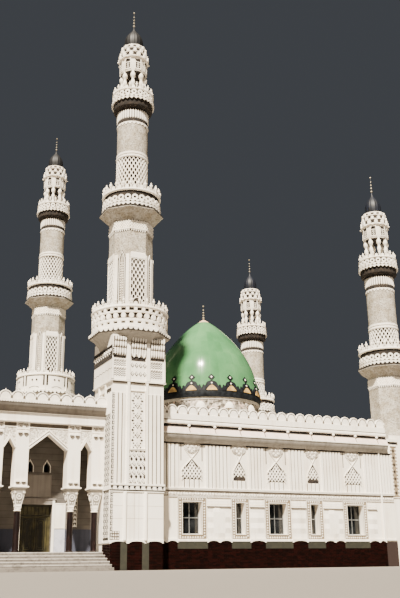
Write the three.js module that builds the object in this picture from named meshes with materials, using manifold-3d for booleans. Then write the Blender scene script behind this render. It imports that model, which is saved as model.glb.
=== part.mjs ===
// A domed mosque building: a hall with a round drum and dome, two tall and two short minarets,
// and a wing whose front end is an arcaded porch with steps and a double door.
// Millimetres, +Z up, +X along the front, +Y to the back, ground at z = 0.
import * as THREE from "three";
import { mergeVertices } from "three/addons/utils/BufferGeometryUtils.js";
import Module from "manifold-3d";

const wasm = await Module();
wasm.setup();

// Open joint between two pieces that touch
const GAP = 0.3;

// Plan of the hall and the wing, outer faces
const FRONT = -9540;
const BACK = 11150;
const LEFT = -16850;
const RIGHT = 11580;
const WALL = 450;

// Levels
const FLOOR_TOP = 930;
const SILL = 1860;
const WINDOW_HEAD = 3610;
const WALL_TOP = 7760;
const ROOF_TOP = 8060;

// Windows: wide and narrow ones take turns along a wall
const WIDE_WINDOW = 1190;
const NARROW_WINDOW = 590;
const FRONT_WINDOW_X = [-5480, -2450, 40, 2590, 5510];
const SIDE_WINDOW_STEP = 2740;
const GLASS = 12;

// Brick plinth under the plastered wall
const PLINTH_TOP = 1440;
const PLINTH_OUT = 60;

// Cornice of the hall: outward offset and height of each corner of its profile
const HALL_CORNICE = [
  [GAP, 6830],
  [110, 6870],
  [290, 7060],
  [400, 7310],
  [420, 7370],
  [160, 7760],
  [130, 7880],
  [240, 7900],
  [240, 8060],
  [150, 8090],
  [150, 8470],
  [-80, 8470],
  [-80, ROOF_TOP + GAP],
  [GAP, ROOF_TOP + GAP],
];
const HALL_LOBE = { foot: 8470, tip: 9000, inner: -40, outer: 130 };

// Cornice of the porch, which reaches further out
const PORCH_CORNICE = [
  [GAP, 7450],
  [120, 7490],
  [120, 7940],
  [200, 7970],
  [380, 8200],
  [450, 8440],
  [470, 8600],
  [270, 8600],
  [230, 8260],
  [-100, 8260],
  [-100, ROOF_TOP + GAP],
  [GAP, ROOF_TOP + GAP],
];
const PORCH_LOBE = { foot: 8600, tip: 9080, inner: 300, outer: 440 };
const FRONT_PARAPET_END = 8150;
const LOBE_WIDTH = 663;
const LOBE_NOTCH = 70;

// Dome and drum
const DOME_X = 500;
const DOME_Y = 1020;
const DRUM_R = 3930;
const DRUM_WALL = 330;
const DRUM_TOP = 11170;
const DRUM_WINDOWS = 12;
const DRUM_WINDOW = { width: 420, sill: 9500, spring: 10150 };
const DOME_SEGMENTS = 32;
const DOME_THICK = 160;
const DOME_FOOT = 11880;
const DOME_OUTSIDE = [
  [4016, DOME_FOOT + GAP],
  [3900, 12350],
  [3720, 13110],
  [3480, 13860],
  [3110, 14630],
  [2610, 15410],
  [1960, 16180],
  [1190, 16930],
  [560, 17420],
  [60, 17720],
];

// Minarets
const TALL_X = -9200;
const TALL_Y = { front: -9200, back: 9200 };
const TALL_HALF = 1500;
const SHORT_HALF = 1530;
const SHORT_X = RIGHT - SHORT_HALF;
const SHORT_Y = { front: FRONT + SHORT_HALF, back: 10750 };
const ROUND_SEGMENTS = 20;
const GALLERY_SEGMENTS = 24;

// Porch
const PORCH_X = -13775;
const PORCH_RIGHT = TALL_X - TALL_HALF;
const PORCH_BACK = TALL_Y.front + TALL_HALF + GAP;
const PORCH_WALL_END = -10200;
const PIER_HALF = 350;
const PIER_OFFSETS = [-2725, -1395, 1395, 2725];
const PIER_DEPTH = 700;
const ARCADE_FOOT = 4190;
const NARROW_ARCH = { half: 315, spring: 6150, tip: 6680 };
const WIDE_ARCH = { half: 1045, spring: 6120, tip: 6960 };
const COLUMN_R = 170;
const STEP_RISE = 155;
const STEP_TREAD = 350;
const STEPS = 6;
const PORCH_EDGE = FRONT - 200;

// Double door of the porch
const DOOR_X = -13800;
const DOOR_HALF = 860;
const DOOR_HEAD = 3420;
const DOOR_Y = -7400;
const FRAME = 150;
const FRAME_DEPTH = 90;
const LEAF_TOP = 2800;
const LEAF_THICK = 45;
const LEAF_CLEAR = 8;
const LANCET = { offset: 470, half: 170, sill: 5120, spring: 5450, tip: 5760 };

const COLOURS = {
  plaster: 0xf1e8da,
  stone: 0xb9b4aa,
  brick: 0x4a2016,
  marble: 0xd6d2ca,
  maroon: 0x2e1515,
  green: 0x86b690,
  navy: 0x1c2334,
  bronze: 0x6b5f30,
  glass: 0x20262a,
  roof: 0xa8a49b,
};

// A closed geometry as a solid that can be joined and cut
function solid(geometry) {
  const loose = geometry.index ? geometry.toNonIndexed() : geometry;
  const bare = new THREE.BufferGeometry();
  bare.setAttribute("position", loose.getAttribute("position"));
  const merged = mergeVertices(bare, 1e-3);
  return new wasm.Manifold(
    new wasm.Mesh({
      numProp: 3,
      vertProperties: new Float32Array(merged.attributes.position.array),
      triVerts: new Uint32Array(merged.index.array),
    }),
  );
}

// A solid back as a geometry with flat faces
function geometryOf(body) {
  const mesh = body.getMesh();
  const geometry = new THREE.BufferGeometry();
  geometry.setAttribute("position", new THREE.BufferAttribute(mesh.vertProperties, 3));
  geometry.setIndex(new THREE.BufferAttribute(mesh.triVerts, 1));
  const flat = geometry.toNonIndexed();
  flat.computeVertexNormals();
  return flat;
}

function union(bodies) {
  return bodies.reduce((joined, body) => joined.add(body));
}

function cut(body, tools) {
  return tools.reduce((left, tool) => left.subtract(tool), body);
}

// A box between two corners
function block(x0, x1, y0, y1, z0, z1) {
  const geometry = new THREE.BoxGeometry(x1 - x0, y1 - y0, z1 - z0);
  geometry.translate((x0 + x1) / 2, (y0 + y1) / 2, (z0 + z1) / 2);
  return solid(geometry);
}

// A square post around a vertical line
function post(x, y, half, z0, z1) {
  return block(x - half, x + half, y - half, y + half, z0, z1);
}

// A profile of [radius, height] points turned round a vertical line
function turned(profile, x, y, segments, turn = 0) {
  const points = profile.map(([r, z]) => new THREE.Vector2(r, z));
  const geometry = new THREE.LatheGeometry(points, segments, turn);
  geometry.rotateX(Math.PI / 2);
  geometry.translate(x, y, 0);
  return solid(geometry);
}

// The same with eight flat sides that face the axes
function octagonal(profile, x, y) {
  return turned(profile, x, y, 8, Math.PI / 8);
}

// An outline of [x, z] points drawn on the front, as thick as from y0 to y1
function frontal(outline, y0, y1) {
  const shape = new THREE.Shape(outline.map(([x, z]) => new THREE.Vector2(x, z)));
  const geometry = new THREE.ExtrudeGeometry(shape, { depth: y1 - y0, bevelEnabled: false });
  geometry.rotateX(Math.PI / 2);
  geometry.translate(0, y1, 0);
  return solid(geometry);
}

// The pointed outline of an arch or niche
function pointedArch(x, half, foot, spring, tip) {
  return [
    [x - half, foot],
    [x + half, foot],
    [x + half, spring],
    [x, tip],
    [x - half, spring],
  ];
}

// The round-headed outline of a window
function roundArch(x, half, foot, spring, steps = 6) {
  const head = [];
  for (let i = 0; i <= steps; i++) {
    const angle = (Math.PI * i) / steps;
    head.push([x + half * Math.cos(angle), spring + half * Math.sin(angle)]);
  }
  return [[x - half, foot], [x + half, foot], ...head];
}

// A body made along the front, turned round the vertical to face another side
function facing(body, side) {
  const turns = { front: 0, right: 90, back: 180, left: 270 };
  return body.rotate([0, 0, turns[side]]);
}

const root = new THREE.Group();

function place(name, body, colour, roughness = 0.8, metalness = 0) {
  const material = new THREE.MeshStandardMaterial({ color: colour, roughness, metalness });
  const mesh = new THREE.Mesh(geometryOf(body), material);
  mesh.name = name;
  root.add(mesh);
}

// The footprints of the minarets, taken out of the floor and the roof that meet them
function minaretFootprints(z0, z1) {
  const clear = (half) => half + GAP;
  return [
    post(TALL_X, TALL_Y.front, clear(TALL_HALF), z0, z1),
    post(TALL_X, TALL_Y.back, clear(TALL_HALF), z0, z1),
    post(SHORT_X, SHORT_Y.front, clear(SHORT_HALF), z0, z1),
    post(SHORT_X, SHORT_Y.back, clear(SHORT_HALF), z0, z1),
  ];
}

// Floor of the hall and wing, raised on a solid bed
function floor() {
  const inner = WALL + GAP;
  const slab = block(LEFT + inner, RIGHT - inner, FRONT + inner, BACK - inner, 0, FLOOR_TOP);
  const porch = block(LEFT, PORCH_RIGHT + GAP, FRONT, PORCH_BACK, -1, FLOOR_TOP + 1);
  const wallBack = PORCH_BACK + inner;
  const besideDoor = DOOR_HALF - GAP;
  const wallFeet = [
    block(LEFT, DOOR_X - besideDoor, FRONT, wallBack, -1, FLOOR_TOP + 1),
    block(DOOR_X + besideDoor, PORCH_WALL_END + GAP, FRONT, wallBack, -1, FLOOR_TOP + 1),
  ];
  return cut(slab, [porch, ...wallFeet, ...minaretFootprints(-1, FLOOR_TOP + 1)]);
}

// Flat roof between x0 and x1, with its share of the round opening under the dome
function roof(x0, x1) {
  const slab = block(x0, x1, FRONT, BACK, WALL_TOP, ROOF_TOP);
  const opening = turned(
    [
      [0, WALL_TOP - 1],
      [DRUM_R - DRUM_WALL, WALL_TOP - 1],
      [DRUM_R - DRUM_WALL, ROOF_TOP + 1],
      [0, ROOF_TOP + 1],
    ],
    DOME_X,
    DOME_Y,
    DOME_SEGMENTS,
  );
  return cut(slab, [opening, ...minaretFootprints(WALL_TOP - 1, ROOF_TOP + 1)]);
}

// A wall along the front between x0 and x1, with its plinth and window openings
function wallAlongFront(x0, x1, face, windows) {
  const wall = block(x0, x1, face, face + WALL, 0, WALL_TOP - GAP);
  const plinth = block(x0, x1, face - PLINTH_OUT, face + WALL, 0, PLINTH_TOP);
  const holes = windows.map(([x, width]) =>
    block(x - width / 2, x + width / 2, face - WALL, face + 2 * WALL, SILL, WINDOW_HEAD),
  );
  return cut(wall.add(plinth), holes);
}

// Window places that take turns wide and narrow about a middle
function windowRow(middle, count, step) {
  const row = [];
  for (let i = 0; i < count; i++) {
    const x = middle + (i - (count - 1) / 2) * step;
    row.push([x, i % 2 === 0 ? WIDE_WINDOW : NARROW_WINDOW]);
  }
  return row;
}

// One sheet of glass behind the windows of a wall
function glazing(windows, face) {
  const edge = 150;
  const first = windows[0];
  const last = windows[windows.length - 1];
  const x0 = first[0] - first[1] / 2 - edge;
  const x1 = last[0] + last[1] / 2 + edge;
  const y0 = face + WALL + GAP;
  return block(x0, x1, y0, y0 + GLASS, SILL - edge, WINDOW_HEAD + edge);
}

// The row of lobes on a parapet, joined by a low kerb
function lobes(x0, x1, lobe, face) {
  const count = Math.round((x1 - x0) / LOBE_WIDTH);
  const pitch = (x1 - x0) / count;
  const height = lobe.tip - lobe.foot;
  const outline = [
    [x0, lobe.foot - 20],
    [x1, lobe.foot - 20],
  ];
  for (let i = count - 1; i >= 0; i--) {
    const left = x0 + i * pitch;
    const round = [1, 0.86, 0.5, 0.14, 0];
    const rise = [0.3, 0.8, 1, 0.8, 0.3];
    round.forEach((share, k) => {
      const x = left + LOBE_NOTCH / 2 + share * (pitch - LOBE_NOTCH);
      outline.push([x, lobe.foot + rise[k] * height]);
    });
  }
  return frontal(outline, face - lobe.outer, face - lobe.inner);
}

// Cornice and parapet along the front between x0 and x1
function parapet(x0, x1, cornice, lobe, face) {
  const shape = new THREE.Shape(cornice.map(([out, z]) => new THREE.Vector2(-out, z)));
  const run = new THREE.ExtrudeGeometry(shape, { depth: x1 - x0, bevelEnabled: false });
  run.applyMatrix4(new THREE.Matrix4().set(0, 0, 1, x0, 1, 0, 0, face, 0, 1, 0, 0, 0, 0, 0, 1));
  return solid(run).add(lobes(x0, x1, lobe, face));
}

// A block that takes off the end of a parapet at 45 degrees, at corner x on face y:
// side 1 is the end at the greater x
function mitre(x, y, side) {
  const size = 4000;
  const geometry = new THREE.BoxGeometry(size, size, size);
  geometry.rotateZ(Math.PI / 4);
  const reach = (size / 2 - GAP) / Math.SQRT2;
  geometry.translate(x + side * reach, y + reach, ROOF_TOP);
  return solid(geometry);
}

// Drum of masonry with small round-headed windows
function drum() {
  const inside = DRUM_R - DRUM_WALL;
  const ring = turned(
    [
      [inside, ROOF_TOP + GAP],
      [DRUM_R, ROOF_TOP + GAP],
      [DRUM_R, DRUM_TOP],
      [inside, DRUM_TOP],
      [inside, ROOF_TOP + GAP],
    ],
    0,
    0,
    DOME_SEGMENTS,
  );
  const outline = roundArch(0, DRUM_WINDOW.width / 2, DRUM_WINDOW.sill, DRUM_WINDOW.spring);
  const hole = frontal(outline, -DRUM_R - DRUM_WALL, -inside + DRUM_WALL);
  const holes = [];
  for (let i = 0; i < DRUM_WINDOWS; i++) {
    holes.push(hole.rotate([0, 0, (360 * i) / DRUM_WINDOWS]));
  }
  return cut(ring, holes).translate([DOME_X, DOME_Y, 0]);
}

// Ring at the foot of the dome, which bears on the drum
function domeBand() {
  const foot = DRUM_TOP + GAP;
  const [radius] = DOME_OUTSIDE[0];
  const profile = [
    [3740, foot],
    [4050, foot],
    [4080, 11620],
    [radius, DOME_FOOT],
    [radius - DOME_THICK, DOME_FOOT],
    [3740, foot],
  ];
  return turned(profile, DOME_X, DOME_Y, DOME_SEGMENTS);
}

// Pointed dome shell with its finial of balls on a rod
function dome() {
  const [radius, foot] = DOME_OUTSIDE[0];
  const bearing = [radius - DOME_THICK, foot];
  const inside = DOME_OUTSIDE.slice(1, -2)
    .map(([r, z]) => [r - DOME_THICK, z - DOME_THICK * (1 - r / 4080)])
    .reverse();
  const shell = turned(
    [...DOME_OUTSIDE, [0, 17740], [0, 17000], ...inside, bearing, DOME_OUTSIDE[0]],
    0,
    0,
    DOME_SEGMENTS,
  );
  const rod = finial(17650, 18900, 60);
  return shell.add(rod).translate([DOME_X, DOME_Y, 0]);
}

// A rod with three balls and a pointed tip, from z0 to z1
function finial(z0, z1, r) {
  const profile = [
    [0, z0],
    [r, z0],
  ];
  const span = z1 - z0;
  [0.25, 0.47, 0.67].forEach((share, k) => {
    const ball = r * (2.4 - 0.4 * k);
    const z = z0 + share * span;
    profile.push([r * 0.6, z - ball], [ball, z], [r * 0.6, z + ball]);
  });
  profile.push([r * 0.4, z1 - 0.1 * span], [0, z1]);
  return turned(profile, 0, 0, 8);
}

// Square foot of a tall minaret, with its plinth and ledge
function tallBase(x, y) {
  return union([
    post(x, y, TALL_HALF - 50, 0, 1360),
    post(x, y, TALL_HALF, 1360, 9860),
    post(x, y, TALL_HALF + 110, 9840, 9880),
  ]);
}

// String course round the part of the foot that stands before the front wall
function stringCourse(x, y) {
  const half = TALL_HALF + 70;
  return block(x - half, x + half, y - half, FRONT - 100, 4050, 4250);
}

// Square block that swells to an octagon, with the round low gallery on it
function lowStage(x, y) {
  const bottom = 9880 + GAP;
  const swell = octagonal(
    [
      [0, 11700],
      [1640, 11700],
      [1760, 12100],
      [2000, 12420],
      [2330, 12620],
      [2380, 12660],
      [2380, 12780],
      [2290, 12850],
      [0, 12850],
    ],
    x,
    y,
  );
  const gallery = turned(
    [
      [2040, 12800],
      [2190, 12800],
      [2190, 13700],
      [2240, 13780],
      [2250, 14080],
      [2040, 14080],
      [2040, 12800],
    ],
    x,
    y,
    GALLERY_SEGMENTS,
  );
  return union([post(x, y, 1560, bottom, 12450), swell, gallery]);
}

// Eight-sided shaft that carries the round middle gallery
function octagonStage(x, y, size, foot, soffit) {
  const at = (r, z) => [r * size, soffit + (z - 19690) * size];
  const shaft = octagonal(
    [
      [0, foot],
      [1290 * size, foot],
      [1290 * size, soffit],
      at(1380, 19820),
      at(1600, 20060),
      at(1880, 20230),
      at(1930, 20300),
      at(1930, 20400),
      at(1820, 20480),
      at(0, 20480),
    ],
    x,
    y,
  );
  const gallery = turned(
    [
      at(1590, 20440),
      at(1730, 20440),
      at(1730, 21240),
      at(1780, 21300),
      at(1780, 21520),
      at(1590, 21520),
      at(1590, 20440),
    ],
    x,
    y,
    GALLERY_SEGMENTS,
  );
  return shaft.add(gallery);
}

// Round shaft that carries the top gallery
function roundStage(x, y, size, foot, soffit) {
  const at = (r, z) => [r * size, soffit + (z - 27380) * size];
  return turned(
    [
      [0, foot],
      [945 * size, foot],
      [945 * size, soffit],
      at(1010, 27450),
      at(1290, 27620),
      at(1330, 27680),
      at(1330, 27800),
      at(1260, 27860),
      at(1260, 28380),
      at(1300, 28430),
      at(1240, 28640),
      at(1130, 28640),
      at(1130, 27860),
      at(0, 27860),
    ],
    x,
    y,
    ROUND_SEGMENTS,
  );
}

// Open lantern: eight columns under a panelled ring with a flaring crown
function lantern(x, y, size, foot) {
  const at = (r, z) => [r * size, foot + (z - 27860) * size];
  const head = turned(
    [
      at(0, 30150),
      at(800, 30150),
      at(840, 30260),
      at(840, 31080),
      at(900, 31180),
      at(1010, 31500),
      at(930, 31640),
      at(960, 31980),
      at(700, 32080),
      at(640, 32150),
      at(0, 32150),
    ],
    0,
    0,
    16,
    Math.PI / 16,
  );
  const [radius, bottom] = at(720, 27860);
  const [thick, top] = at(95, 30200);
  const column = turned(
    [
      [0, bottom],
      [thick * 1.25, bottom],
      [thick, bottom + 150],
      [thick, top - 700],
      [thick * 1.6, top - 380],
      [thick, top],
      [0, top],
    ],
    radius,
    0,
    6,
  );
  const columns = [];
  for (let i = 0; i < 8; i++) {
    columns.push(column.rotate([0, 0, 22.5 + 45 * i]));
  }
  return union([head, ...columns]).translate([x, y, 0]);
}

// Onion cap with its finial
function cap(x, y, size, foot, top, bulb) {
  const height = 1450 * size;
  const at = (r, share) => [r * size, foot + share * height];
  const onion = turned(
    [
      at(0, 0),
      at(560, 0),
      at(bulb, 0.22),
      at(bulb + 20, 0.45),
      at(bulb - 60, 0.65),
      at(bulb - 260, 0.84),
      at(110, 0.97),
      at(60, 1),
      at(0, 1),
    ],
    0,
    0,
    16,
  );
  return onion.add(finial(foot + height - 40, top, 60 * size)).translate([x, y, 0]);
}

// Square foot of a short minaret
function shortBase(x, y) {
  return post(x, y, SHORT_HALF, 0, ROOF_TOP);
}

// Sloping corners that bring the square foot to the octagon
function broach(x, y, foot) {
  const diagonal = Math.SQRT2;
  return turned(
    [
      [0, foot],
      [(SHORT_HALF - 20) * diagonal, foot],
      [(SHORT_HALF - 60) * diagonal, foot + 120],
      [900 * diagonal, foot + 980],
      [0, foot + 980],
    ],
    x,
    y,
    4,
    Math.PI / 4,
  );
}

// Porch floor and the flight of steps along its front
function porchSteps() {
  const back = FRONT + PIER_DEPTH;
  const profile = [
    [back, 0],
    [back, FLOOR_TOP],
  ];
  for (let i = 0; i < STEPS; i++) {
    const y = PORCH_EDGE - i * STEP_TREAD;
    const z = FLOOR_TOP - i * STEP_RISE;
    profile.push([y, z], [y, z - STEP_RISE]);
  }
  const shape = new THREE.Shape(profile.map(([y, z]) => new THREE.Vector2(y, z)));
  const width = PORCH_RIGHT - GAP - LEFT;
  const run = new THREE.ExtrudeGeometry(shape, { depth: width, bevelEnabled: false });
  run.applyMatrix4(new THREE.Matrix4().set(0, 0, 1, LEFT, 1, 0, 0, 0, 0, 1, 0, 0, 0, 0, 0, 1));
  const inner = LEFT + WALL + GAP;
  const landing = block(inner, LEFT + width, back - 10, PORCH_BACK - GAP, 0, FLOOR_TOP);
  return solid(run).add(landing);
}

// Marble column with a spreading capital and a square abacus
function column(x) {
  const y = FRONT + PIER_DEPTH / 2;
  const foot = FLOOR_TOP + GAP;
  const beside = post(TALL_X, TALL_Y.front, TALL_HALF + GAP, 0, WALL_TOP);
  const shaft = turned(
    [
      [0, foot],
      [COLUMN_R + 40, foot],
      [COLUMN_R, foot + 60],
      [COLUMN_R, 2970],
      [COLUMN_R + 20, 3050],
      [0, 3050],
    ],
    x,
    y,
    12,
  );
  const diagonal = Math.SQRT2;
  const capital = turned(
    [
      [0, 2970],
      [210 * diagonal, 2970],
      [230 * diagonal, 3200],
      [335 * diagonal, 3900],
      [345 * diagonal, 4040],
      [0, 4040],
    ],
    x,
    y,
    4,
    Math.PI / 4,
  );
  const abacusBack = FRONT + PIER_DEPTH - GAP;
  const abacus = block(x - 440, x + 440, FRONT - 90, abacusBack, 4040, ARCADE_FOOT - GAP);
  return union([shaft, capital, abacus]).subtract(beside);
}

// Piers and the wall over the three pointed arches of the porch
function arcade() {
  const top = WALL_TOP - GAP;
  const right = PORCH_RIGHT - GAP;
  const y1 = FRONT + PIER_DEPTH;
  const spandrel = block(LEFT, right, FRONT + 70, y1 - 70, ARCADE_FOOT, top);
  const openings = [
    [PORCH_X, WIDE_ARCH],
    [PORCH_X - 2060, NARROW_ARCH],
    [PORCH_X + 2060, NARROW_ARCH],
  ].map(([x, arch]) =>
    frontal(pointedArch(x, arch.half, ARCADE_FOOT - 1, arch.spring, arch.tip), FRONT, y1),
  );
  const piers = PIER_OFFSETS.map((offset) => {
    const x0 = Math.max(PORCH_X + offset - PIER_HALF, LEFT);
    const x1 = Math.min(PORCH_X + offset + PIER_HALF, right);
    return block(x0, x1, FRONT, y1, ARCADE_FOOT, top);
  });
  const beam = block(LEFT, right, FRONT, y1, 7450, top);
  return union([cut(spandrel, openings), ...piers, beam]);
}

// The wall behind the porch, in three pieces round its doorway
function porchWall(x0, x1, z0) {
  return block(x0, x1, PORCH_BACK, PORCH_BACK + WALL, z0, WALL_TOP - GAP);
}

function porchWallBeside(side) {
  const face = DOOR_X + side * DOOR_HALF;
  const end = side < 0 ? LEFT + WALL + GAP : PORCH_WALL_END;
  return porchWall(Math.min(face, end), Math.max(face, end), 0);
}

function porchWallOverDoor() {
  const wall = porchWall(DOOR_X - DOOR_HALF + GAP, DOOR_X + DOOR_HALF - GAP, DOOR_HEAD);
  const lancets = [-1, 1].map((side) =>
    frontal(
      pointedArch(DOOR_X + side * LANCET.offset, LANCET.half, LANCET.sill, LANCET.spring, LANCET.tip),
      PORCH_BACK - WALL,
      PORCH_BACK + 2 * WALL,
    ),
  );
  return cut(wall, lancets);
}

// Metal door frame with a closed panel over the leaves
function doorFrame() {
  const half = DOOR_HALF - GAP;
  const y1 = DOOR_Y + FRAME_DEPTH;
  const outer = block(
    DOOR_X - half,
    DOOR_X + half,
    DOOR_Y,
    y1,
    FLOOR_TOP + GAP,
    DOOR_HEAD - GAP,
  );
  const opening = block(
    DOOR_X - half + FRAME,
    DOOR_X + half - FRAME,
    DOOR_Y - 1,
    y1 + 1,
    FLOOR_TOP,
    LEAF_TOP,
  );
  return outer.subtract(opening);
}

// One leaf with its pull bar, hinged on the frame: side -1 is the left one
function doorLeaf(side) {
  const hinge = DOOR_X + side * (DOOR_HALF - GAP - FRAME);
  const x0 = hinge - side * LEAF_CLEAR;
  const x1 = DOOR_X + side * (LEAF_CLEAR / 2 + 1);
  const y1 = DOOR_Y + FRAME_DEPTH;
  const z0 = FLOOR_TOP + 12;
  const leaf = block(
    Math.min(x0, x1),
    Math.max(x0, x1),
    y1 - LEAF_THICK,
    y1,
    z0,
    LEAF_TOP - LEAF_CLEAR,
  );
  const bar = DOOR_X + side * 90;
  const front = y1 - LEAF_THICK;
  const pull = union([
    block(bar - 14, bar + 14, front - 60, front - 36, 1750, 2250),
    block(bar - 12, bar + 12, front - 50, front + 5, 1790, 1820),
    block(bar - 12, bar + 12, front - 50, front + 5, 2180, 2210),
  ]);
  return leaf.add(pull);
}

// A minaret stage by stage
function tallMinaret(name, x, y) {
  const base = y < 0 ? tallBase(x, y).add(stringCourse(x, y)) : tallBase(x, y);
  place(name + "_base", base, COLOURS.plaster);
  place(name + "_low_gallery", lowStage(x, y), COLOURS.plaster);
  place(name + "_octagon_shaft", octagonStage(x, y, 1, 12850 + GAP, 19690), COLOURS.stone);
  place(name + "_round_shaft", roundStage(x, y, 1, 20480 + GAP, 27380), COLOURS.stone);
  place(name + "_lantern", lantern(x, y, 1, 27860 + GAP), COLOURS.plaster);
  place(name + "_cap", cap(x, y, 1, 32150 + 2 * GAP, 35100, 630), COLOURS.navy, 0.35);
}

function shortMinaret(name, x, y) {
  const size = 1.0254;
  const foot = ROOF_TOP + GAP;
  const soffit = 12140;
  const galleryFloor = soffit + 790 * size;
  const topSoffit = 19470;
  const topFloor = topSoffit + 480 * size;
  const lanternTop = topFloor + 4290 * size;
  place(name + "_base", shortBase(x, y), COLOURS.plaster);
  place(
    name + "_octagon_shaft",
    octagonStage(x, y, size, foot, soffit).add(broach(x, y, foot)),
    COLOURS.stone,
  );
  place(
    name + "_round_shaft",
    roundStage(x, y, size, galleryFloor + GAP, topSoffit),
    COLOURS.stone,
  );
  place(name + "_lantern", lantern(x, y, size, topFloor + GAP), COLOURS.plaster);
  place(name + "_cap", cap(x, y, size, lanternTop + 2 * GAP, 27480, 600), COLOURS.navy, 0.35);
}

// Walls, from the middle of the building each side is made facing front and then turned
function hall() {
  const tallFace = TALL_X + TALL_HALF + GAP;
  const shortFace = SHORT_X - SHORT_HALF - GAP;
  const frontWindows = FRONT_WINDOW_X.map((x, i) => [
    x,
    i % 2 === 0 ? WIDE_WINDOW : NARROW_WINDOW,
  ]);
  place("front_wall", wallAlongFront(tallFace, shortFace, FRONT, frontWindows), COLOURS.plaster);
  place("front_glazing", glazing(frontWindows, FRONT), COLOURS.glass, 0.1);

  const rightStart = SHORT_Y.front + SHORT_HALF + GAP;
  const rightEnd = SHORT_Y.back - SHORT_HALF - GAP;
  const rightWindows = windowRow((rightStart + rightEnd) / 2, 5, SIDE_WINDOW_STEP);
  const rightWall = wallAlongFront(rightStart, rightEnd, -RIGHT, rightWindows);
  place("right_wall", facing(rightWall, "right"), COLOURS.plaster);
  place("right_glazing", facing(glazing(rightWindows, -RIGHT), "right"), COLOURS.glass, 0.1);

  const backStart = -shortFace;
  const backEnd = -(LEFT + WALL + GAP);
  const backWindows = windowRow(0, 5, SIDE_WINDOW_STEP);
  const backWall = wallAlongFront(backStart, backEnd, -BACK, backWindows);
  place("back_wall", facing(backWall, "back"), COLOURS.plaster);
  place("back_glazing", facing(glazing(backWindows, -BACK), "back"), COLOURS.glass, 0.1);

  const leftStart = -BACK;
  const leftEnd = -(FRONT + PIER_DEPTH + GAP);
  const leftWindows = windowRow((leftStart - PORCH_BACK) / 2, 5, SIDE_WINDOW_STEP);
  const leftWall = wallAlongFront(leftStart, leftEnd, LEFT, leftWindows);
  place("left_wall", facing(leftWall, "left"), COLOURS.plaster);
  place("left_glazing", facing(glazing(leftWindows, LEFT), "left"), COLOURS.glass, 0.1);
}

// Cornices and parapets of the four sides and the porch
function parapets() {
  const tallFace = TALL_X + TALL_HALF + GAP;
  const shortFace = SHORT_X - SHORT_HALF - GAP;
  const hallRun = (x0, x1, face) => parapet(x0, x1, HALL_CORNICE, HALL_LOBE, face);
  place("front_parapet", hallRun(tallFace, FRONT_PARAPET_END, FRONT), COLOURS.plaster);

  const rightStart = SHORT_Y.front + SHORT_HALF + GAP;
  const rightEnd = SHORT_Y.back - SHORT_HALF - GAP;
  const rightRun = hallRun(rightStart, rightEnd, -RIGHT);
  place("right_parapet", facing(rightRun, "right"), COLOURS.plaster);

  const past = 600;
  const backRun = hallRun(-shortFace, -LEFT + past, -BACK);
  const backMitred = backRun.subtract(mitre(-LEFT, -BACK, 1));
  place("back_parapet", facing(backMitred, "back"), COLOURS.plaster);

  const leftRun = hallRun(-BACK - past, -(FRONT + GAP), LEFT);
  const leftMitred = facing(leftRun.subtract(mitre(-BACK, LEFT, -1)), "left");
  const porchStart = LEFT - 420;
  const corner = block(porchStart - 100, LEFT + 300, FRONT - 600, FRONT + 100 + GAP, ROOF_TOP - 1, 9500);
  place("left_parapet", leftMitred.subtract(corner), COLOURS.plaster);

  const porchRun = parapet(porchStart, PORCH_RIGHT - GAP, PORCH_CORNICE, PORCH_LOBE, FRONT);
  place("porch_parapet", porchRun, COLOURS.plaster);
}

// The porch from its steps up to the arcade, and the wall and double door behind it
function porch() {
  place("porch_steps", porchSteps(), COLOURS.marble);
  PIER_OFFSETS.forEach((offset, i) => {
    place("porch_column_" + (i + 1), column(PORCH_X + offset), COLOURS.maroon, 0.3);
  });
  place("porch_arcade", arcade(), COLOURS.plaster);
  place("porch_wall_left", porchWallBeside(-1), COLOURS.plaster);
  place("porch_wall_right", porchWallBeside(1), COLOURS.plaster);
  place("porch_wall_over_door", porchWallOverDoor(), COLOURS.plaster);
  place("door_frame", doorFrame(), COLOURS.bronze, 0.4, 0.6);
  place("door_leaf_left", doorLeaf(-1), COLOURS.bronze, 0.4, 0.6);
  place("door_leaf_right", doorLeaf(1), COLOURS.bronze, 0.4, 0.6);
}

hall();
parapets();
porch();
place("floor", floor(), COLOURS.marble);
place("roof_left", roof(LEFT, DOME_X - GAP / 2), COLOURS.roof);
place("roof_right", roof(DOME_X + GAP / 2, RIGHT), COLOURS.roof);
place("drum", drum(), COLOURS.stone);
place("dome_band", domeBand(), COLOURS.navy);
place("dome", dome(), COLOURS.green, 0.4);
tallMinaret("tall_front", TALL_X, TALL_Y.front);
tallMinaret("tall_back", TALL_X, TALL_Y.back);
shortMinaret("short_front", SHORT_X, SHORT_Y.front);
shortMinaret("short_back", SHORT_X, SHORT_Y.back);

export default root;
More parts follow.
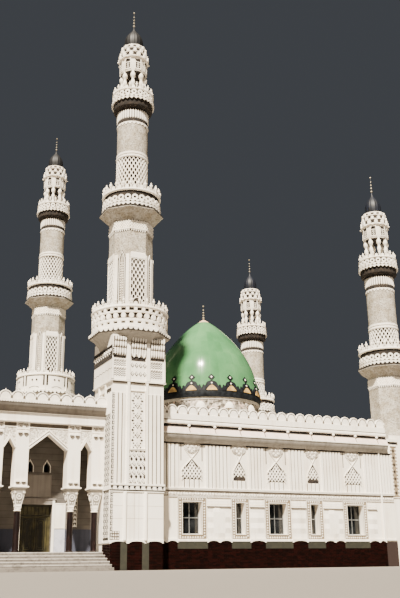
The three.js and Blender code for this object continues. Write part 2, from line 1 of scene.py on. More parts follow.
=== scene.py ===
import bpy
import math
import numpy as np
from mathutils import Matrix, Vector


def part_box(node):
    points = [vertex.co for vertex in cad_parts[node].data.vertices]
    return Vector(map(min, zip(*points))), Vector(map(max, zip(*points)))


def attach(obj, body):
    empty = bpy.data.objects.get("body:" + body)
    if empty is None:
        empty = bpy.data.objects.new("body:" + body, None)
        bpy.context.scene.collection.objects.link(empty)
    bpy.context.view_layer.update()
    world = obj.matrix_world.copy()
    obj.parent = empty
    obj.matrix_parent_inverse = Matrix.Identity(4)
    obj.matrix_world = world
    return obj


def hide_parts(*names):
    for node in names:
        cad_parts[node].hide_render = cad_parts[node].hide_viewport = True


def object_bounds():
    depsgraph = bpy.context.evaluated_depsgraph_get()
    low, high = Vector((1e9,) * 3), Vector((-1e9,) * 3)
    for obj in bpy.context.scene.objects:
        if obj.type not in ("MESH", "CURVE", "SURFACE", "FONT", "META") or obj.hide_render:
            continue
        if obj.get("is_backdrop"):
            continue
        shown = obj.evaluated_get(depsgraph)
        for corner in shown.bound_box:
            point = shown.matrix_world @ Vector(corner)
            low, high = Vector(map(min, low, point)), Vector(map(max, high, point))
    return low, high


# A domed mosque: a hall with a green dome, two tall and two short minarets, and a wing
# whose front end is an arcaded porch. Metres, +Z up, the front looks towards -Y.
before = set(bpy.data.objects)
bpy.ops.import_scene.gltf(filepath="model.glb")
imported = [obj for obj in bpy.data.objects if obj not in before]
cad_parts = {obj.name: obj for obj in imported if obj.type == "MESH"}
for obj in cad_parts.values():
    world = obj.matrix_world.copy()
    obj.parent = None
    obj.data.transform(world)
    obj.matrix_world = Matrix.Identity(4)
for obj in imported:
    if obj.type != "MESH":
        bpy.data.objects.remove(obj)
cad_low, cad_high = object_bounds()

# Camera, at the standpoint of the photograph: low, in front of the left end, looking up.
# The view is turned about the upright, tipped up and rolled a little.
eye = (-25.261, -52.317, 0.15)
turn, tip, roll = math.radians(25.545), math.radians(18.041), math.radians(-0.761)
forward = np.array([math.sin(turn) * math.cos(tip), math.cos(turn) * math.cos(tip),
                    math.sin(tip)])
level = np.array([math.cos(turn), -math.sin(turn), 0.0])
rising = np.cross(level, forward)
right = level * math.cos(roll) + rising * math.sin(roll)
top = rising * math.cos(roll) - level * math.sin(roll)
camera = bpy.data.objects.new("camera", bpy.data.cameras.new("camera"))
camera.data.lens = 49.43
camera.data.sensor_width = 36.0
camera.data.clip_end = 500.0
turned_view = Matrix((right, top, -forward)).transposed().to_4x4()
camera.matrix_world = Matrix.Translation(eye) @ turned_view
bpy.context.scene.collection.objects.link(camera)
bpy.context.scene.camera = camera


# Studio: a pale floor far wider than the building, one soft sun from the front left and
# an even pale light all round.
def linear(code):
    """An sRGB hex colour as linear light: each channel c is c/12.92 where it is small and
    ((c + 0.055) / 1.055) to the power 2.4 elsewhere."""
    channels = np.array([int(code[i:i + 2], 16) / 255 for i in (0, 2, 4)])
    curved = ((channels + 0.055) / 1.055) ** 2.4
    return (*np.where(channels <= 0.04045, channels / 12.92, curved), 1.0)


def add_node(tree, kind, inputs=None, **settings):
    """One node of that kind with its settings, and inputs that are values or linked sockets."""
    made = tree.nodes.new("ShaderNode" + kind)
    for name, value in settings.items():
        setattr(made, name, value)
    for name, value in (inputs or {}).items():
        if isinstance(value, bpy.types.NodeSocket):
            tree.links.new(value, made.inputs[name])
        else:
            made.inputs[name].default_value = value
    return made


def new_finish(name, roughness, **sockets):
    """An empty finish: its node tree, its shader with constants set, and its own coordinates."""
    finish = bpy.data.materials.new(name)
    finish.use_nodes = True
    tree = finish.node_tree
    shader = tree.nodes["Principled BSDF"]
    shader.inputs["Roughness"].default_value = roughness
    for socket, value in sockets.items():
        shader.inputs[socket.replace("_", " ")].default_value = value
    place = add_node(tree, "TexCoord").outputs["Object"]
    return finish, tree, shader, place


ground = bpy.data.meshes.new("studio_floor")
reach = 400.0
ground.from_pydata([(-reach, -reach, -0.003), (reach, -reach, -0.003), (reach, reach, -0.003),
                    (-reach, reach, -0.003)], [], [(0, 1, 2, 3)])
floor_stage = bpy.data.objects.new("studio_floor", ground)
bpy.context.scene.collection.objects.link(floor_stage)
pale, _, pale_shader, _ = new_finish("studio_pale", 0.9)
pale_shader.inputs["Base Color"].default_value = linear("7C766F")
ground.materials.append(pale)
floor_stage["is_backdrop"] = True

key = bpy.data.objects.new("key", bpy.data.lights.new("key", "SUN"))
key.data.energy = 18.0
key.data.angle = math.radians(2.5)
key.data.color = linear("FFF3E0")[:3]
key.rotation_euler = (math.radians(39.0), 0, math.radians(-35.5))
bpy.context.scene.collection.objects.link(key)
world = bpy.data.worlds.new("studio")
world.use_nodes = True
bpy.context.scene.world = world
sky = world.node_tree.nodes["Background"]
sky.inputs["Color"].default_value = linear("CBD3E0")
sky.inputs["Strength"].default_value = 0.09

# Floor and steps: honed pale marble slabs on a mortar bed. The steps' treads are slabs of
# their own with a 20 mm nosing, dust has settled in the joints, and the risers are a darker
# marble that paints their shade.
def wire(shader, colour, bump=None):
    """Feeds a finish its colour, and its bump where it has one."""
    links = shader.id_data.links
    links.new(colour, shader.inputs["Base Color"])
    if bump:
        links.new(bump.outputs[0], shader.inputs["Normal"])


def spread(tree, factor, stops):
    """A ramp from (place, hex colour) stops, read by a factor."""
    ramp = add_node(tree, "ValToRGB", {"Fac": factor})
    steps = ramp.color_ramp.elements
    while len(steps) < len(stops):
        steps.new(0.5)
    for step, (place, code) in zip(steps, stops):
        step.position = place
        step.color = linear(code)
    return ramp.outputs["Color"]


def marble(name, light, vein, joint):
    """Marble from light to vein by stretched noise, with dark joints every so many metres
    along X: a joint is where the distance to the nearest multiple is under 4 mm."""
    finish, tree, shader, place = new_finish(name, 0.45)
    bent = add_node(tree, "Mapping", {"Vector": place, "Rotation": (0.3, 0.2, 0.6)})
    veins = add_node(tree, "TexNoise", {"Vector": bent.outputs[0], "Scale": 2.2, "Detail": 8.0,
                                        "Roughness": 0.7, "Distortion": 1.4})
    colour = spread(tree, veins.outputs[0], [(0.36, vein), (0.52, light)])
    across = add_node(tree, "SeparateXYZ", {"Vector": place}).outputs["X"]
    to_joint = add_node(tree, "Math", {0: across, 1: joint / 2}, operation="PINGPONG")
    in_joint = add_node(tree, "Math", {0: to_joint.outputs[0], 1: 0.004}, operation="LESS_THAN")
    mixed = add_node(tree, "Mix", {"Factor": in_joint.outputs[0], "A": colour,
                                   "B": linear("7D766C")}, data_type="RGBA")
    worn = add_node(tree, "TexNoise", {"Vector": place, "Scale": 30.0, "Detail": 3.0})
    bump = add_node(tree, "Bump", {"Height": worn.outputs[0], "Strength": 0.2, "Distance": 0.004})
    wire(shader, mixed.outputs["Result"], bump)
    return finish


def loft(rings, closed=False):
    """Rings with the same number of points, joined one to the next by four-sided faces. The
    first and the last are closed by one face each, or joined to each other. Where the
    volume, a sixth of the sum of a . (b x c) over its triangles, is negative, every face is
    turned round, so that all face outwards."""
    rings = np.asarray(rings, float)
    count, sides = rings.shape[:2]
    points = rings.reshape(-1, 3)
    start = np.arange(count if closed else count - 1)[:, None] * sides
    here = np.arange(sides)[None, :]
    after = np.roll(here, -1)
    onward = (start + sides) % (count * sides)
    quads = np.stack((start + here, start + after, onward + after, onward + here),
                     -1).reshape(-1, 4)
    caps = np.stack((np.arange(sides)[::-1], (count - 1) * sides + np.arange(sides)))
    a, b, c, d = (points[quads[:, i]] for i in range(4))
    volume = np.sum(a * (np.cross(b, c) + np.cross(c, d)))
    if not closed:
        hub = points[caps[:, :1]]
        volume += np.sum(hub * np.cross(points[caps[:, 1:-1]], points[caps[:, 2:]]))
    if volume < 0:
        quads, caps = quads[:, ::-1], caps[:, ::-1]
    if closed:
        return points, quads.ravel(), np.full(len(quads), 4)
    return (points, np.concatenate((quads.ravel(), caps.ravel())),
            np.concatenate((np.full(len(quads), 4), [sides, sides])))


def plate(outline, *steps):
    """An outline of (along, up) points carried outwards: at each (out, share) step it is drawn
    share times as large about its own middle."""
    outline = np.asarray(outline, float)
    middle = (outline.min(0) + outline.max(0)) / 2
    return loft([np.column_stack((middle + (outline - middle) * share, np.full(len(outline), out)))
                 for out, share in steps])


def slab(along0, along1, up0, up1, out0, out1):
    """A box in the face's own directions, as a four-cornered plate."""
    return plate([(along0, up0), (along1, up0), (along1, up1), (along0, up1)], (out0, 1), (out1, 1))


def joined(*shapes):
    """Shapes as one: the points follow each other and the corners count on."""
    ahead = np.cumsum([0] + [len(shape[0]) for shape in shapes[:-1]])
    return (np.concatenate([shape[0] for shape in shapes]),
            np.concatenate([shape[1] + first for shape, first in zip(shapes, ahead)]),
            np.concatenate([shape[2] for shape in shapes]))


def copies(shape, along=0.0, up=0.0, out=0.0, wide=1.0):
    """The same shape at every step along, up and out, each so many times as wide."""
    along, up, out, wide = (np.ravel(step).astype(float)
                            for step in np.broadcast_arrays(along, up, out, wide))
    points, corners, counts = shape
    scale = np.stack((wide, np.ones_like(wide), np.ones_like(wide)), -1)
    placed = points[None] * scale[:, None] + np.stack((along, up, out), -1)[:, None]
    ahead = np.arange(len(along))[:, None] * len(points)
    return placed.reshape(-1, 3), (corners[None] + ahead).ravel(), np.tile(counts, len(along))


def stand(shape, angle=0.0, reach=0.0, x=0.0, y=0.0, along=0.0, up=0.0):
    """Copies of a shape on upright faces. A face is reach metres from the upright line at x, y,
    and turned anticlockwise by the angle from facing the front: X = x + along cos + out sin,
    Y = y + along sin - out cos, Z = up."""
    angle, along, up, reach = np.broadcast_arrays(angle, along, up, reach)
    points, corners, counts = copies(shape, along, up, reach)
    turns = angle.ravel().astype(float)
    cosine, sine = (np.repeat(part, len(shape[0])) for part in (np.cos(turns), np.sin(turns)))
    u, v, w = points.T
    return (np.column_stack((x + u * cosine + w * sine, y + u * sine - w * cosine, v)),
            corners, counts)


def put(name, shape, finish, slot="plaster", replaces=(), body="building", crease=35):
    """A finished shape as a piece of the building: it rides on its body, and edges that turn
    by less than the crease, in degrees, are shaded smooth. The slot is not used."""
    points, corners, counts = shape
    mesh = bpy.data.meshes.new(name)
    mesh.vertices.add(len(points))
    mesh.vertices.foreach_set("co", points.astype(np.float32).ravel())
    mesh.loops.add(len(corners))
    mesh.loops.foreach_set("vertex_index", corners.astype(np.int32))
    mesh.polygons.add(len(counts))
    starts = np.cumsum(counts) - counts
    mesh.polygons.foreach_set("loop_start", starts.astype(np.int32))
    mesh.polygons.foreach_set("use_smooth", np.ones(len(counts), bool))
    mesh.update(calc_edges=True)
    mesh.set_sharp_from_angle(angle=math.radians(crease))
    mesh.materials.append(finish)
    piece = bpy.data.objects.new(name, mesh)
    bpy.context.scene.collection.objects.link(piece)
    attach(piece, body)
    if replaces:
        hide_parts(*replaces)
    return piece


def coat(finish, *nodes):
    """Solids that stay as they are, in that finish."""
    for node in nodes:
        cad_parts[node].material_slots[0].material = finish


treads_marble = marble("honed_marble_treads", "ADA8A2", "8A847D", 1.6)
coat(marble("honed_marble_paving", "D9D4CB", "B4ADA2", 1.2), "floor")
coat(marble("dusty_marble_risers", "7A746D", "5C5650", 1.6), "porch_steps")
steps_low, steps_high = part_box("porch_steps")
STEPS, RISE, TREAD, NOSING = 6, 0.155, 0.35, 0.02
tread = slab(steps_low.x + 0.001, steps_high.x - 0.001, -0.05, 0.004, -TREAD + 0.02, NOSING)
porch_edge = -steps_low.y - (STEPS - 1) * TREAD
flight = stand(tread, 0, porch_edge + np.arange(STEPS) * TREAD,
               up=steps_high.z - np.arange(STEPS) * RISE)
flight[0][:, 1] = np.maximum(flight[0][:, 1], steps_low.y + 0.0005)
put("porch_treads", flight, treads_marble, "marble")


# Walls: masonry with lime plaster, rolled on by hand. It is matt and even, with faint
# dust streaks that run down, about 100 to 300 mm wide. Below the plinth line the bed of
# mortar shows between the bricks.
def lime_plaster(name, light, shade, carved=0.0, split=None):
    """Plaster from light to shade by soft clouds and upright streaks of dust. Carved plaster has
    cells of that many metres cut into it by a bump, painted darker towards their depth as shade.
    Below the split height it is the mortar bed."""
    finish, tree, shader, place = new_finish(name, 0.86)
    clouds = add_node(tree, "TexNoise", {"Vector": place, "Scale": 0.45, "Detail": 4.0})
    tall = add_node(tree, "Mapping", {"Vector": place, "Scale": (4.0, 4.0, 0.25)})
    streaks = add_node(tree, "TexNoise", {"Vector": tall.outputs[0], "Scale": 1.0, "Detail": 5.0})
    both = add_node(tree, "Math", {0: clouds.outputs[0], 1: streaks.outputs[0]},
                    operation="MULTIPLY")
    colour = spread(tree, both.outputs[0], [(0.12, shade), (0.27, light)])
    if split:
        height = add_node(tree, "SeparateXYZ", {"Vector": place}).outputs["Z"]
        above = add_node(tree, "Math", {0: height, 1: split}, operation="GREATER_THAN")
        mixed = add_node(tree, "Mix", {"Factor": above.outputs[0], "A": linear("24140F"),
                                       "B": colour}, data_type="RGBA")
        colour = mixed.outputs["Result"]
    relief = add_node(tree, "TexNoise", {"Vector": place, "Scale": 9.0, "Detail": 6.0})
    depth = 0.02
    if carved:
        relief = add_node(tree, "TexVoronoi", {"Vector": place, "Scale": 1 / carved},
                          feature="SMOOTH_F1")
        depth = carved * 0.35
        groove = spread(tree, relief.outputs[0], [(0.15, "FFFFFF"), (0.75, "8F887E")])
        mixed = add_node(tree, "Mix", {"Factor": 1.0, "A": colour, "B": groove}, data_type="RGBA",
                         blend_type="MULTIPLY")
        colour = mixed.outputs["Result"]
    bump = add_node(tree, "Bump", {"Height": relief.outputs[0], "Strength": 0.9 if carved else 0.25,
                                   "Distance": depth})
    bump.invert = bool(carved)
    wire(shader, colour, bump)
    return finish


def extent(side, node):
    """A solid seen square on from that side: where it starts and ends along the wall, and how
    far out its face is."""
    low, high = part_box(node)
    return {"front": (low.x, high.x, -low.y), "right": (low.y, high.y, high.x),
            "back": (-high.x, -low.x, high.y), "left": (-high.y, -low.y, -low.x)}[side]


PLINTH_TOP, PLINTH_OUT = 1.44, 0.06
plaster = lime_plaster("lime_plaster", "FBF5EA", "E9DFD0")
wall_plaster = lime_plaster("lime_plaster_over_mortar_bed", "FAF3E6", "E4D9C8", split=PLINTH_TOP)
carved_plaster = lime_plaster("carved_lime_plaster", "FBF5EA", "E9DFD0", carved=0.085)
# The ground of the carving, dark brown: painted shade between the reliefs.
carving_shade = lime_plaster("dusty_ground_of_carving", "85765F", "66583F")
sides = {}
for side, angle in (("front", 0), ("right", 90), ("back", 180), ("left", 270)):
    coat(wall_plaster, side + "_wall")
    start, end, face = extent(side, side + "_wall")
    glass_start, glass_end, _ = extent(side, side + "_glazing")
    sides[side] = {"angle": math.radians(angle), "start": start, "end": end,
                   "face": face - PLINTH_OUT, "middle": (glass_start + glass_end) / 2}
coat(plaster, "short_front_base", "short_back_base", "porch_arcade", "tall_front_base",
     "tall_back_base")

# Brick plinth: dark red wire-cut bricks in running bond, a 10 mm bed between them, 12 mm
# proud of the mortar. Their colour changes from brick to brick.
BRICK_LENGTH, BRICK_HEIGHT, BRICK_PITCH, COURSE = 0.243, 0.064, 0.25, 0.0757
brick, tree, shader, place = new_finish("dark_red_wire_cut_brick", 0.9,
                                        Specular_IOR_Level=0.05)
per_brick = add_node(tree, "Mapping", {"Vector": place,
                                       "Scale": (1 / BRICK_PITCH, 1 / BRICK_PITCH, 1 / COURSE)})
each = add_node(tree, "TexVoronoi", {"Vector": per_brick.outputs[0], "Scale": 1.0,
                                     "Randomness": 0.5})
tone = add_node(tree, "SeparateColor", {"Color": each.outputs["Color"]})
colour = spread(tree, tone.outputs[0], [(0.1, "0A0201"), (0.5, "120402"), (0.9, "1A0604")])
drag = add_node(tree, "TexNoise", {"Vector": place, "Scale": 60.0, "Detail": 4.0})
bump = add_node(tree, "Bump", {"Height": drag.outputs[0], "Strength": 0.4, "Distance": 0.004})
wire(shader, colour, bump)


def brickwork(start, end, bottom, rows, out0, out1):
    """Running bond: brick i of a course starts i pitches on, half a pitch back in every other
    course, and what passes either end is cut off."""
    row = np.arange(rows)[:, None]
    steps = np.arange(int((end - start) / BRICK_PITCH) + 2)[None]
    left = start + BRICK_PITCH * (steps - row % 2 / 2)
    right = np.clip(left + BRICK_LENGTH, start, end)
    left = np.clip(left, start, end)
    up = np.broadcast_to(bottom + row * COURSE, left.shape)
    kept = right - left > 0.02
    unit = slab(0, 1, 0, BRICK_HEIGHT, out0, out1)
    return copies(unit, left[kept], up[kept], 0, (right - left)[kept])


COURSES, BRICKS_END, BRICKS_OUT = 20, 7.67, 0.012
for side, wall in sides.items():
    end = BRICKS_END if side == "front" else wall["end"] - 0.01
    shape = brickwork(wall["start"] + 0.01, end, 0.006, COURSES, 0.0, PLINTH_OUT + BRICKS_OUT)
    put(side + "_plinth_bricks", stand(shape, wall["angle"], wall["face"]), brick)

# Window bays: the openings take turns wide and narrow. Round each runs a border of carved
# plaster cast in place, with a flat fillet along both edges and flowers between them.
FRONT_WINDOWS = (-5.48, -2.45, 0.04, 2.59, 5.51)
WIDE, NARROW, SILL, HEAD = 0.595, 0.295, 1.86, 3.61
WINDOW_STEP = 2.74
BORDER, BORDER_FOOT, BORDER_TOP = 0.29, 1.5, 3.83
FLOWER_PITCH = 0.15
halves = np.array([WIDE, NARROW, WIDE, NARROW, WIDE])
for side, wall in sides.items():
    wall["windows"] = (np.array(FRONT_WINDOWS) if side == "front"
                       else wall["middle"] + WINDOW_STEP * (np.arange(5) - 2))


def pierced(outer, inner, out0, out1):
    """A flat ring between two outlines with as many points each, from out0 to out1."""
    ring = [np.column_stack((edge, np.full(len(edge), out)))
            for edge, out in ((outer, out0), (outer, out1), (inner, out1), (inner, out0))]
    return loft(ring, closed=True)


def rectangle(along0, along1, up0, up1):
    """The four corners, anticlockwise."""
    return np.array([(along0, up0), (along1, up0), (along1, up1), (along0, up1)])


def flower(radius, out0, out1):
    """Four petals: the radius falls and rises with the cosine of four times the angle."""
    turn = np.arange(16) * np.pi / 8
    edge = radius * (0.74 + 0.26 * np.cos(4 * turn))
    return plate(np.column_stack((edge * np.cos(turn), edge * np.sin(turn))),
                 (out0, 1), (out0 + 0.6 * (out1 - out0), 1), (out1, 0.45))


def window_border(half):
    """The border's bed, its two fillets, and flowers down its middle line."""
    outer = rectangle(-half - BORDER, half + BORDER, BORDER_FOOT, BORDER_TOP)
    inner = rectangle(-half, half, SILL, HEAD)
    bed = pierced(outer, inner, 0, 0.03)
    edge = rectangle(-half - BORDER + 0.025, half + BORDER - 0.025, BORDER_FOOT + 0.025,
                     BORDER_TOP - 0.025)
    lip = rectangle(-half - 0.035, half + 0.035, SILL - 0.035, HEAD + 0.035)
    fillets = joined(pierced(outer, edge, 0, 0.055), pierced(lip, inner, 0, 0.05))
    bud = flower(0.058, 0.03, 0.062)
    middle = half + BORDER / 2
    across = np.arange(-middle, middle + 0.01, FLOWER_PITCH * 1.02)
    upward = np.arange(SILL - 0.1, HEAD + 0.08, FLOWER_PITCH)
    flowers = joined(copies(bud, across, (HEAD + BORDER_TOP) / 2 + 0.01),
                     copies(bud, across, (BORDER_FOOT + SILL) / 2),
                     copies(bud, -middle, upward), copies(bud, middle, upward))
    return bed, joined(fillets, flowers)


# Window frames: white-silver anodised aluminium, satin, with a cross of bars, set at the
# back of the reveal against the glass.
silver, tree, shader, place = new_finish("anodised_aluminium", 0.42, Metallic=0.85)
brushed = add_node(tree, "Mapping", {"Vector": place, "Scale": (60.0, 60.0, 4.0)})
grain = add_node(tree, "TexNoise", {"Vector": brushed.outputs[0], "Scale": 1.0, "Detail": 3.0})
wire(shader, spread(tree, grain.outputs[0], [(0.3, "8E9296"), (0.7, "B9BCBE")]))


def window_frame(half):
    """A rim 45 mm wide and bars of 40 mm: one across, and one upright where it is wide."""
    rim = pierced(rectangle(-half, half, SILL, HEAD),
                  rectangle(-half + 0.045, half - 0.045, SILL + 0.045, HEAD - 0.045), -0.445, -0.39)
    across = slab(-half, half, 2.73, 2.77, -0.44, -0.4)
    if half < WIDE:
        return joined(rim, across)
    return joined(rim, across, slab(-0.02, 0.02, SILL, HEAD, -0.44, -0.4))


def mottled(name, roughness, scale, detail, stops, **sockets):
    """A finish coloured in soft patches: a ramp of stops reads noise of that scale."""
    finish, tree, shader, place = new_finish(name, roughness, **sockets)
    patches = add_node(tree, "TexNoise", {"Vector": place, "Scale": scale, "Detail": detail})
    wire(shader, spread(tree, patches.outputs[0], stops))
    return finish


glass = mottled("dark_window_glass", 0.06, 1.3, 5.0, [(0.42, "0B0D0E"), (0.7, "26282A")])
for side, wall in sides.items():
    coat(glass, side + "_glazing")
    beds, reliefs, frames = [], [], []
    for half in (WIDE, NARROW):
        at = wall["windows"][halves == half]
        bed, relief = window_border(half)
        beds.append(copies(bed, at))
        reliefs.append(copies(relief, at))
        frames.append(copies(window_frame(half), at))
    here = wall["angle"], wall["face"]
    # The border's bed is painted dark as the shade between its flowers.
    put(side + "_window_borders", stand(joined(*beds), *here), carving_shade)
    put(side + "_window_flowers", stand(joined(*reliefs), *here), plaster)
    put(side + "_window_frames", stand(joined(*frames), *here), silver, "window_glass")

# Blind panels between the windows: plaster faceted like cut stone under a hood, and below
# them the plaster's edge hangs over the bricks in low arches. Under the windows, slabs
# of green-grey stone are let into the brickwork.
PANEL_FOOT, PANEL_TOP = 1.5, 3.37


def relief(alongs, ups, heights):
    """A slab whose front is a grid of heights: its sections follow each other along, each of
    the heights there and two corners of the flat back."""
    back = np.array([(ups[-1], 0.0), (ups[0], 0.0)])
    return loft([np.column_stack((np.full(len(ups) + 2, along),
                                  np.concatenate((np.column_stack((ups, row)), back))))
                 for along, row in zip(alongs, heights)])


def faceted(along0, along1, columns):
    """Cut facets: every second knot of an even net stands out, so that each is a lozenge of
    four faces, and the rim is flat."""
    alongs = np.linspace(along0, along1, 2 * columns + 1)
    ups = np.linspace(PANEL_FOOT + 0.12, PANEL_TOP - 0.02, 7)
    knots = (np.arange(2 * columns + 1)[:, None] + np.arange(7)[None]) % 2
    heights = 0.012 + 0.09 * knots
    heights[[0, -1]] = 0.012
    heights[:, [0, -1]] = 0.012
    return relief(alongs, ups, heights)


def hanging_edge(along0, along1, arches, top, foot, rise, out0, out1):
    """A band whose lower edge is cut into round arches: down by the foot, and up by the rise
    times the root of the sine of the way through each arch."""
    way = np.linspace(0, 1, 9)
    width = (along1 - along0) / arches
    inset = 0.05
    low = [np.column_stack((along0 + width * i + inset + (width - 2 * inset) * way,
                            foot + rise * np.sqrt(np.sin(np.pi * way)))) for i in range(arches)]
    outline = np.concatenate([[(along0, foot)], *low,
                              [(along1, foot), (along1, top), (along0, top)]])
    return plate(outline, (out0, 1), (out1, 1))


stone_green, tree, shader, place = new_finish("green_grey_stone", 0.7)
clouds = add_node(tree, "TexNoise", {"Vector": place, "Scale": 3.0, "Detail": 7.0,
                                     "Roughness": 0.65})
bump = add_node(tree, "Bump", {"Height": clouds.outputs[0], "Strength": 0.3, "Distance": 0.01})
wire(shader, spread(tree, clouds.outputs[0], [(0.35, "1D1D14"), (0.65, "2B2A1E")]), bump)

hang = PLINTH_OUT + 0.005, PLINTH_OUT + 0.04
for side, wall in sides.items():
    at, here = wall["windows"], (wall["angle"], wall["face"])
    starts, ends = at[:-1] + halves[:-1] + BORDER, at[1:] - halves[1:] - BORDER
    if side == "front":
        starts, ends = np.append(starts, at[-1] + WIDE + BORDER), np.append(ends, 7.17)
    panels, edges, shades = [], [], []
    for start, end in zip(starts, ends):
        columns = 2 if end - start > 1.1 else 1
        panels += [faceted(start + 0.05, end - 0.05, columns),
                   slab(start + 0.02, end - 0.02, PANEL_TOP, PANEL_TOP + 0.06, 0, 0.1),
                   slab(start + 0.04, end - 0.04, PANEL_TOP + 0.12, PANEL_TOP + 0.3, 0, 0.025)]
        # Under each hood a strip painted dark as its shadow.
        shades.append(slab(start + 0.04, end - 0.04, PANEL_TOP - 0.045, PANEL_TOP, 0, 0.03))
        edges.append(hanging_edge(start, end, columns, 1.6, 1.41, 0.1, *hang))
    bays = [hanging_edge(x - half - BORDER, x + half + BORDER, 1, 1.53, 1.47, 0.0, *hang)
            for x, half in zip(at, halves)]
    last = (ends.max(), BRICKS_END) if side == "front" else \
        (at[-1] + halves[-1] + BORDER, wall["end"] - 0.01)
    rims = [hanging_edge(start, end, max(1, round((end - start) / 0.6)), 1.6, 1.41, 0.1, *hang)
            for start, end in ((wall["start"] + 0.01,
                                starts.min() - 2 * halves[0] - 2 * BORDER), last)]
    green = [slab(x - half - BORDER - 0.03, x + half + BORDER + 0.03, 1.08, 1.465, 0,
                  PLINTH_OUT + 0.022) for x, half in zip(at, halves)]
    ledge = slab(wall["start"] + 0.01, wall["end"] - 0.01, 1.53, 1.6, 0, PLINTH_OUT + 0.005)
    put(side + "_blind_panels", stand(joined(*panels, *edges, *bays, *rims, ledge), *here),
        plaster, crease=6)
    put(side + "_green_slabs", stand(joined(*green), *here), stone_green, "stone")
    put(side + "_hood_shades", stand(joined(*shades), *here), carving_shade)


# Upper wall: a carved band under a ledge, and over it plaster reeds run by a mould, with
# painted shade in the grooves between them. Over each window is a pierced arch, with ribbons
# that cross at its tip and rise to a panel of flowers, and black painted as shadow behind its
# holes.
BAND_FOOT, BAND_TOP = 3.91, 4.14
REED_FOOT, REED_TOP, REED_PITCH, GROOVE = 4.36, 6.8, 0.235, 0.055
ARCH_FOOT, ARCH_SHOULDER, ARCH_TIP = 4.83, 5.36, 6.0
ARCH_HALF, SHIELD_HALF = {WIDE: 0.61, NARROW: 0.39}, {WIDE: 0.49, NARROW: 0.46}
ROOM = {WIDE: 1.05, NARROW: 0.8}
# Dark brown for painted shade in grooves, gaps and hollows; the cornice's slab joints use it too.
shade_and_joints = lime_plaster("dust_in_the_reliefs", "5E554A", "463F37")
# Near black for painted shadow: behind nets and holes, in deep gaps and under ledges.
painted_shadow = mottled("dark_void_behind_lattice", 0.95, 5.0, 4.0, [(0.4, "15110E"), (0.75, "3A3027")])


def rib(path, width, out, back=0.0, closed=False, front=0.6):
    """A moulding along a path in the face, whose front is narrower than its back by that share.
    At each point its section lies across the middle of the two stretches there, longer by
    one over the cosine of half the turn."""
    path = np.asarray(path, float)
    ahead = np.roll(path, -1, 0) - path
    behind = np.roll(ahead, 1, 0)
    if not closed:
        ahead[-1], behind[0] = behind[-1], ahead[0]
    ahead, behind = (way / np.linalg.norm(way, axis=1)[:, None] for way in (ahead, behind))
    across = np.column_stack((-ahead[:, 1] - behind[:, 1], ahead[:, 0] + behind[:, 0]))
    across /= np.linalg.norm(across, axis=1)[:, None]
    longer = 1 / np.sum(across * np.column_stack((-ahead[:, 1], ahead[:, 0])), axis=1)
    section = np.array([(-0.5, back), (0.5, back), (front / 2, out), (-front / 2, out)])
    flat = path[:, None] + (across * longer[:, None] * width)[:, None] * section[None, :, :1]
    outs = np.broadcast_to(section[None, :, 1:], (len(path), 4, 1))
    return loft(np.concatenate((flat, outs), -1), closed)


def tile(width, height, hole, out0, out1):
    """One mesh of a net: a lozenge with a hole of the given share, rounder than its rim: the
    hole's corners come in and its sides go out."""
    lozenge = np.array([(1, 0), (0.5, 0.5), (0, 1), (-0.5, 0.5), (-1, 0), (-0.5, -0.5), (0, -1),
                        (0.5, -0.5)]) * (width / 2, height / 2)
    rounding = np.array([0.82, 1.1] * 4)[:, None]
    return pierced(lozenge, lozenge * hole * rounding, out0, out1)


def net(inside, across, upward, width, height):
    """Centres of staggered meshes: rows half a mesh apart, every other one moved on by half a
    mesh, kept where the test says that they lie inside."""
    rows = np.arange(upward[0], upward[1] + 0.001, height / 2)
    count = int((across[1] - across[0]) / width) + 2
    shift = np.arange(len(rows)) % 2 / 2
    middle = (across[0] + across[1]) / 2
    alongs = middle + width * (np.arange(-count, count + 1)[None] + shift[:, None])
    ups = np.broadcast_to(rows[:, None], alongs.shape)
    kept = inside(alongs, ups)
    return alongs[kept], ups[kept]


def arch_panel(half, slot):
    """The gable-headed net over a window: a plate behind it painted dark as shadow, meshes, rim,
    crossing ribbons and the panel of flowers. A narrow one has a slot under it painted dark as
    shade."""
    foot = ARCH_FOOT + 0.2 if slot else ARCH_FOOT
    shield = SHIELD_HALF[NARROW if slot else WIDE]
    gable = np.array([(-half, foot), (half, foot), (half, ARCH_SHOULDER), (0, ARCH_TIP),
                      (-half, ARCH_SHOULDER)])
    slope = half / (ARCH_TIP - ARCH_SHOULDER)

    def inside(along, up):
        """Within the gable, clear of its rim."""
        edge = np.minimum(half - 0.04, slope * (ARCH_TIP - up) - 0.1)
        return (np.abs(along) < edge) & (up > foot + 0.05)

    alongs, ups = net(inside, (-half, half), (foot, ARCH_TIP), 0.22, 0.3)
    meshes = copies(tile(0.22, 0.3, 0.66, 0.012, 0.05), alongs, ups)
    top = ARCH_TIP + 0.42
    ribbons = [rib([(side * half, foot - 0.05), (side * half, ARCH_SHOULDER), (0, ARCH_TIP),
                    (-side * half * 0.62, top), (-side * half * 0.5, top + 0.12)], 0.045, 0.05)
               for side in (-1, 1)]
    way = np.linspace(0, np.pi, 11)
    outline = np.concatenate(([(shield, 6.79), (-shield, 6.79)],
                              np.column_stack((-shield * np.cos(way), 6.6 - 0.3 * np.sin(way)))))
    carved = plate(outline, (0, 1), (0.045, 1), (0.055, 0.95))
    alongs, ups = np.transpose([(-0.5, 6.66), (0, 6.66), (0.5, 6.66), (-0.28, 6.48), (0.28, 6.48),
                                (0, 6.38)])
    flowers = copies(flower(0.085, 0.05, 0.085), alongs * shield * 1.1, ups)
    dark = plate(gable, (0, 1), (0.01, 1))
    if slot:
        dark = joined(dark, slab(-half, half, ARCH_FOOT, ARCH_FOOT + 0.185, 0, 0.01))
    return dark, joined(meshes, *ribbons, flowers), carved


